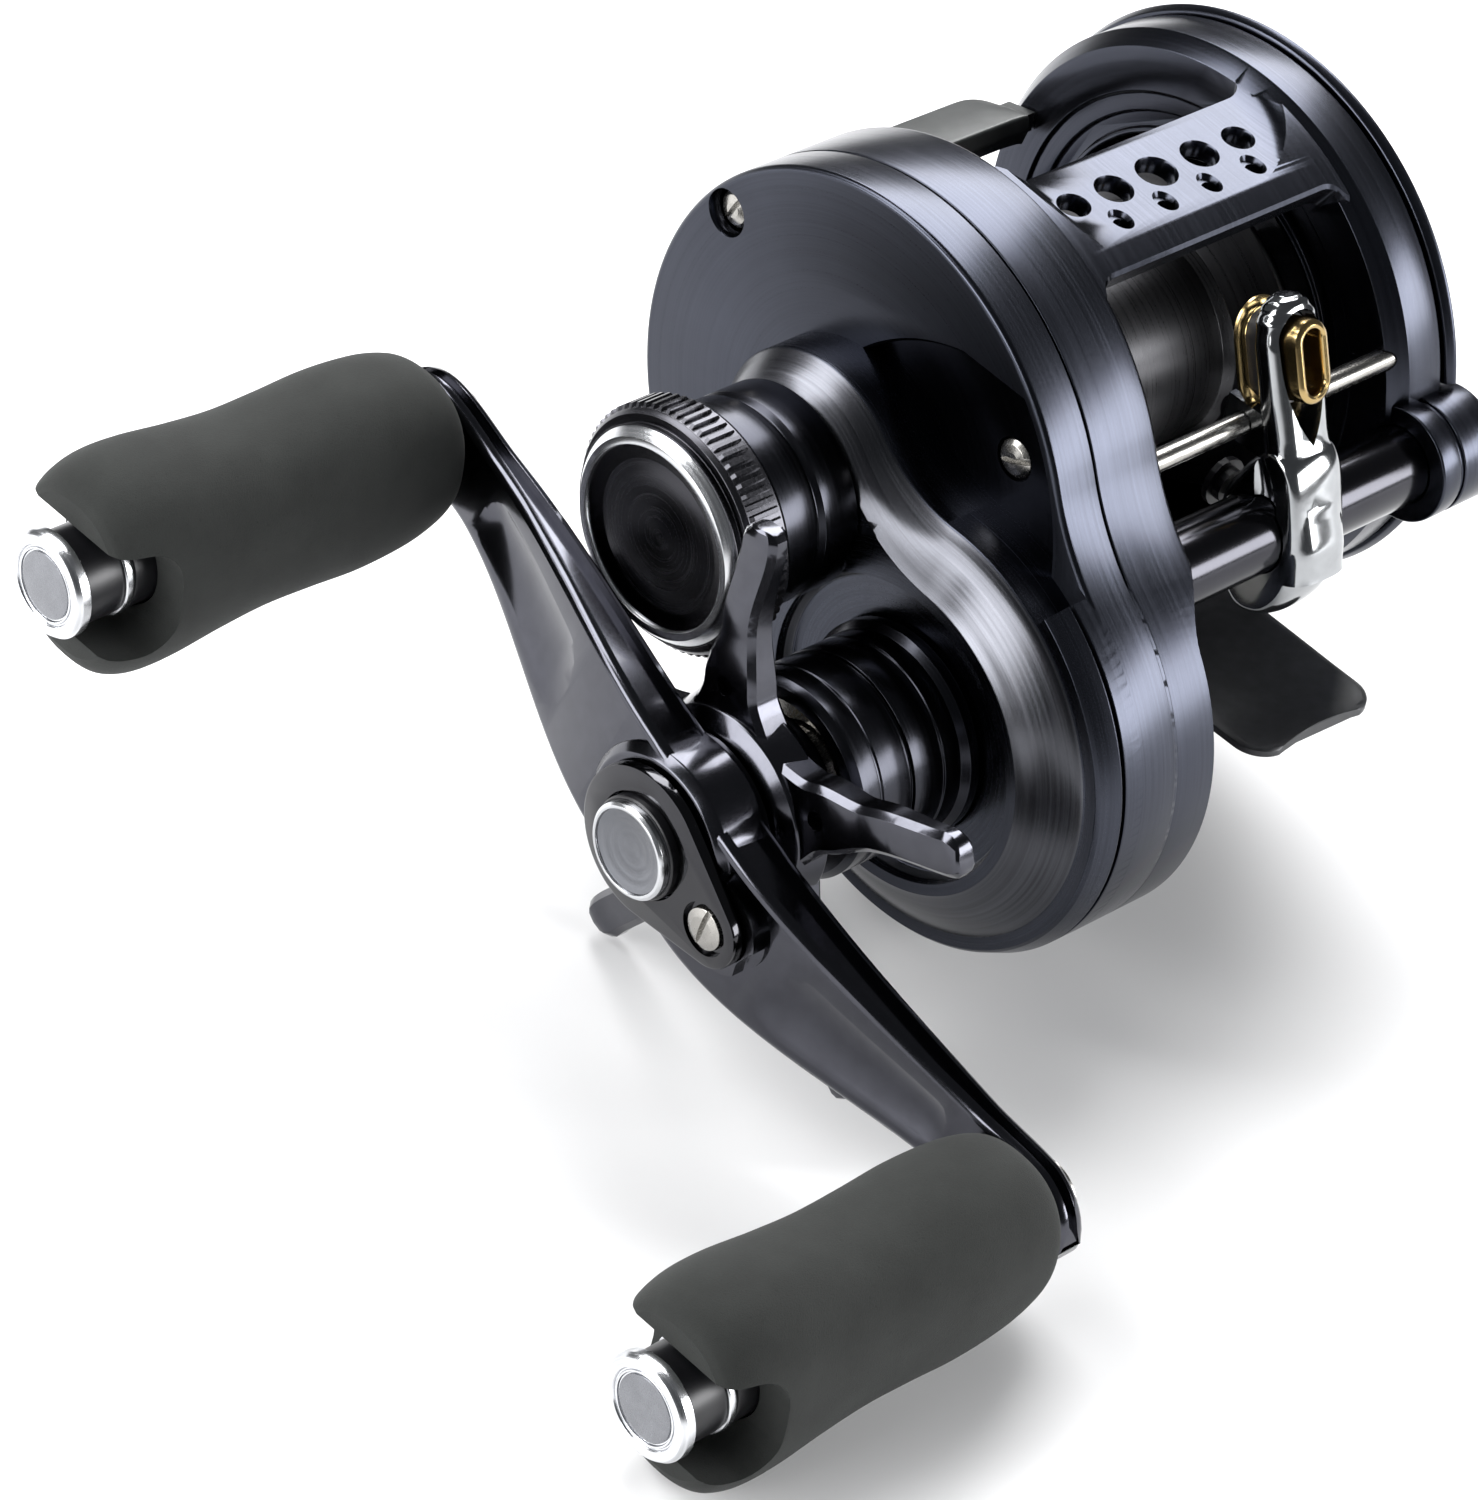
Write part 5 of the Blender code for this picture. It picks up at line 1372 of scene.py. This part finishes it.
def build_level_wind():
    tube = ring(-18.0, 18.9, 2.6, 3.6, WORM, 96, 0.1)
    slit = box((-12.5, WORM.x + 0.5, WORM.y - 1.1), (12.8, WORM.x + 6.0, WORM.y + 1.1))
    place("worm_cover_tube", cut(tube, slit), tube_metal, "reel", ["worm_tube"])
    bar = turned([(-17.0, 0.0), (-17.0, 1.0), (17.0, 1.0), (17.0, 0.0)], ROD, 48, 0.1)
    place("guide_bar", bar, steel, "reel", ["guide_rod"])


# ---------------------------------------------------------------- foot and thumb bar

def build_foot():
    """Blade with a crowned top, round corners and slightly hollow ends."""
    table = [(-34.2, 7.8, 1.0), (-31.0, 7.8, 1.1), (-18.0, 7.8, 1.5), (-12.6, 7.8, 2.0),
             (12.6, 7.8, 2.0), (20.0, 7.6, 1.5), (31.0, 7.3, 1.1), (33.8, 7.2, 1.0)]
    base = span("reel_foot", 2)[0]
    front, rear = -33.8, 33.4
    corner = 3.0
    near = [0.02 + (corner - 0.02) * (step / 14.0) ** 1.6 for step in range(15)]
    middle_length = rear - front - 2 * corner
    stations = [front + away for away in near]
    stations += [front + corner + middle_length * step / 60.0 for step in range(1, 60)]
    stations += [rear - away for away in reversed(near)]
    sections = []
    for y in stations:
        half, thick = curve_at(table, y)
        reach = min(y - front, rear - y)
        half -= corner_pull(reach, corner)
        section = []
        for side in (1.0, -1.0):
            for step in range(25):
                t = side * (-1.0 + step / 12.0)
                hollow = 0.5 * (1.0 - t * t) * (1.0 - ease(reach, 0.0, 4.0))
                top = thick * (1.0 - 0.25 * t * t) - 0.18 * ease(abs(t), 0.93, 1.0)
                section.append((FOOT_X + half * t, y + math.copysign(hollow, -y),
                                base + (top if side > 0 else 0.0)))
        sections.append(section)
    holes = [upright(FOOT_X, y, base - 3.0, base + 5.0, RIVET_HOLE_R) for y in (-RIVET_Y, RIVET_Y)]
    place("foot_blade", cut(loft(sections), *holes), foot_black, "reel", ["reel_foot"],
          clean=True, bevel=0.12)
    for label, y in (("front", -RIVET_Y), ("rear", RIVET_Y)):
        rivet = upright(FOOT_X, y, base + 0.4, -16.5, 1.15)
        place("foot_pin_" + label, rivet, steel, "reel", ["foot_rivet_" + label],
              bevel=0.2)


def build_thumb_bar():
    """Thumb pad: a shelf with a rounded back edge and rounded corners."""
    outline = [(20.2, 9.9), (23.2, 9.45), (26.0, 8.8), (27.0, 7.9), (26.6, 6.6), (23.0, 6.1),
               (20.4, 6.7), (19.6, 8.6)]
    front, depth = 19.6, 7.4
    half = 12.5
    rows = []
    for step in range(81):
        x = half * math.sin(math.pi / 2 * (-1.0 + step / 40.0))
        share = 1.0 - corner_pull(half - abs(x), 2.8) / depth
        crown = 0.12 * math.cos(math.pi * x / 26.0)
        rows.append([(x, front + (y - front) * share, z + crown)
                     for y, z in rounded(outline, 0.5, 4, True)])
    tab = slab([(20.8, 9.2), (24.0, 8.5), (24.0, 7.0), (20.8, 7.2)], -14.3, 14.3)
    place("thumb_rest", join(loft(rows), tab), thumb_black, "clutch_bar", ["thumb_bar"],
          clean=True)


# ---------------------------------------------------------------- set

FLOOR_HALF = 9.0
FLOOR_GAP = 0.0004
LIGHT_DISTANCE = 0.80
WORLD_STRENGTH = 0.10
# Soft boxes: direction from the object, width and height in metres, and power in watts.
SOFT_BOXES = {
    "high_back": ((0.50, 0.45, 0.72), 0.52, 0.52, 11.0),
    "high_left": ((-0.45, 0.55, 0.70), 0.40, 0.40, 5.5),
    "low_front": ((0.52, -0.82, 0.24), 0.62, 0.30, 8.0),
    "left_wall": ((-0.88, 0.30, 0.30), 0.80, 0.34, 8.0),
}


def softbox(name, location, target, width, height, power):
    data = bpy.data.lights.new(name, "AREA")
    data.shape = "RECTANGLE"
    data.size = width
    data.size_y = height
    data.energy = power
    item = bpy.data.objects.new(name, data)
    bpy.context.scene.collection.objects.link(item)
    item.location = location
    item.rotation_mode = "QUATERNION"
    item.rotation_quaternion = (target - location).to_track_quat("-Z", "Y")


def build_floor():
    n = Nodes("studio_floor")
    tone = n.span(n.noise(n.place, 0.01, 3.0), 0.3, 0.7, 0.985, 1.0)
    n.set(color=n.vector("SCALE", (0.80, 0.80, 0.805), scale=tone), metallic=0.0, roughness=0.85,
          specular=0.2)
    bm = bmesh.new()
    bmesh.ops.create_grid(bm, x_segments=8, y_segments=8, size=FLOOR_HALF)
    mesh = bpy.data.meshes.new("studio_floor")
    bm.to_mesh(mesh)
    bm.free()
    mesh.materials.append(n.material)
    floor = bpy.data.objects.new("studio_floor", mesh)
    bpy.context.scene.collection.objects.link(floor)
    floor.location.z = cad_low.z - FLOOR_GAP


def build_set():
    build_floor()
    world = bpy.data.worlds.new("studio")
    bpy.context.scene.world = world
    world.use_nodes = True
    background = world.node_tree.nodes["Background"]
    background.inputs[0].default_value = (0.90, 0.94, 1.0, 1.0)
    background.inputs[1].default_value = WORLD_STRENGTH
    bpy.context.scene.view_settings.view_transform = "Standard"
    centre = (cad_low + cad_high) / 2
    for name, (heading, width, height, power) in SOFT_BOXES.items():
        spot = centre + Vector(heading).normalized() * LIGHT_DISTANCE
        softbox(name, spot, centre, width, height, power)


def build_camera():
    """Three-quarter view from the crank side, above the front."""
    data = bpy.data.cameras.new("view")
    data.lens = 153.46
    data.sensor_width = 36.0
    data.clip_start = 0.01
    data.clip_end = 20.0
    item = bpy.data.objects.new("view", data)
    bpy.context.scene.collection.objects.link(item)
    right = Vector((0.7306, -0.6672, 0.1450))
    up = Vector((0.3380, 0.5379, 0.7723))
    back = Vector((-0.5933, -0.5153, 0.6185))
    turn = Matrix((right, up, back)).transposed().to_4x4()
    item.matrix_world = Matrix.Translation((-0.3682, -0.2880, 0.3365)) @ turn
    bpy.context.scene.camera = item


def dress_cad_nodes():
    """Inner pieces keep their CAD shape and take a worked material."""
    finishes = {
        "brass": brass, "fibre": deep_black, "steel": steel, "silver": silver_axis,
        "black_anodised": black, "chrome": chrome, "gold": gold, "body_anodised": body_axis,
        "crank_gunmetal": gunmetal, "foot_black": foot_black, "foam": foam}
    for entry in frame["record"]["subparts"]:
        item = frame["nodes"][entry["node"]]
        finish = finishes[entry["material_slot"]]
        item.data.materials.clear()
        item.data.materials.append(finish)


dress_cad_nodes()
build_frame()
build_palm_side()
build_side_plate()
build_gear_housing()
build_crank_sleeve()
build_spool()
build_cast_control()
build_star()
build_arm()
build_hub_parts()
build_knob("front", KNOB_FRONT, silver_front)
build_knob("rear", KNOB_REAR, silver_rear)
build_level_wind()
build_line_guide()
build_foot()
build_thumb_bar()
build_set()
build_camera()
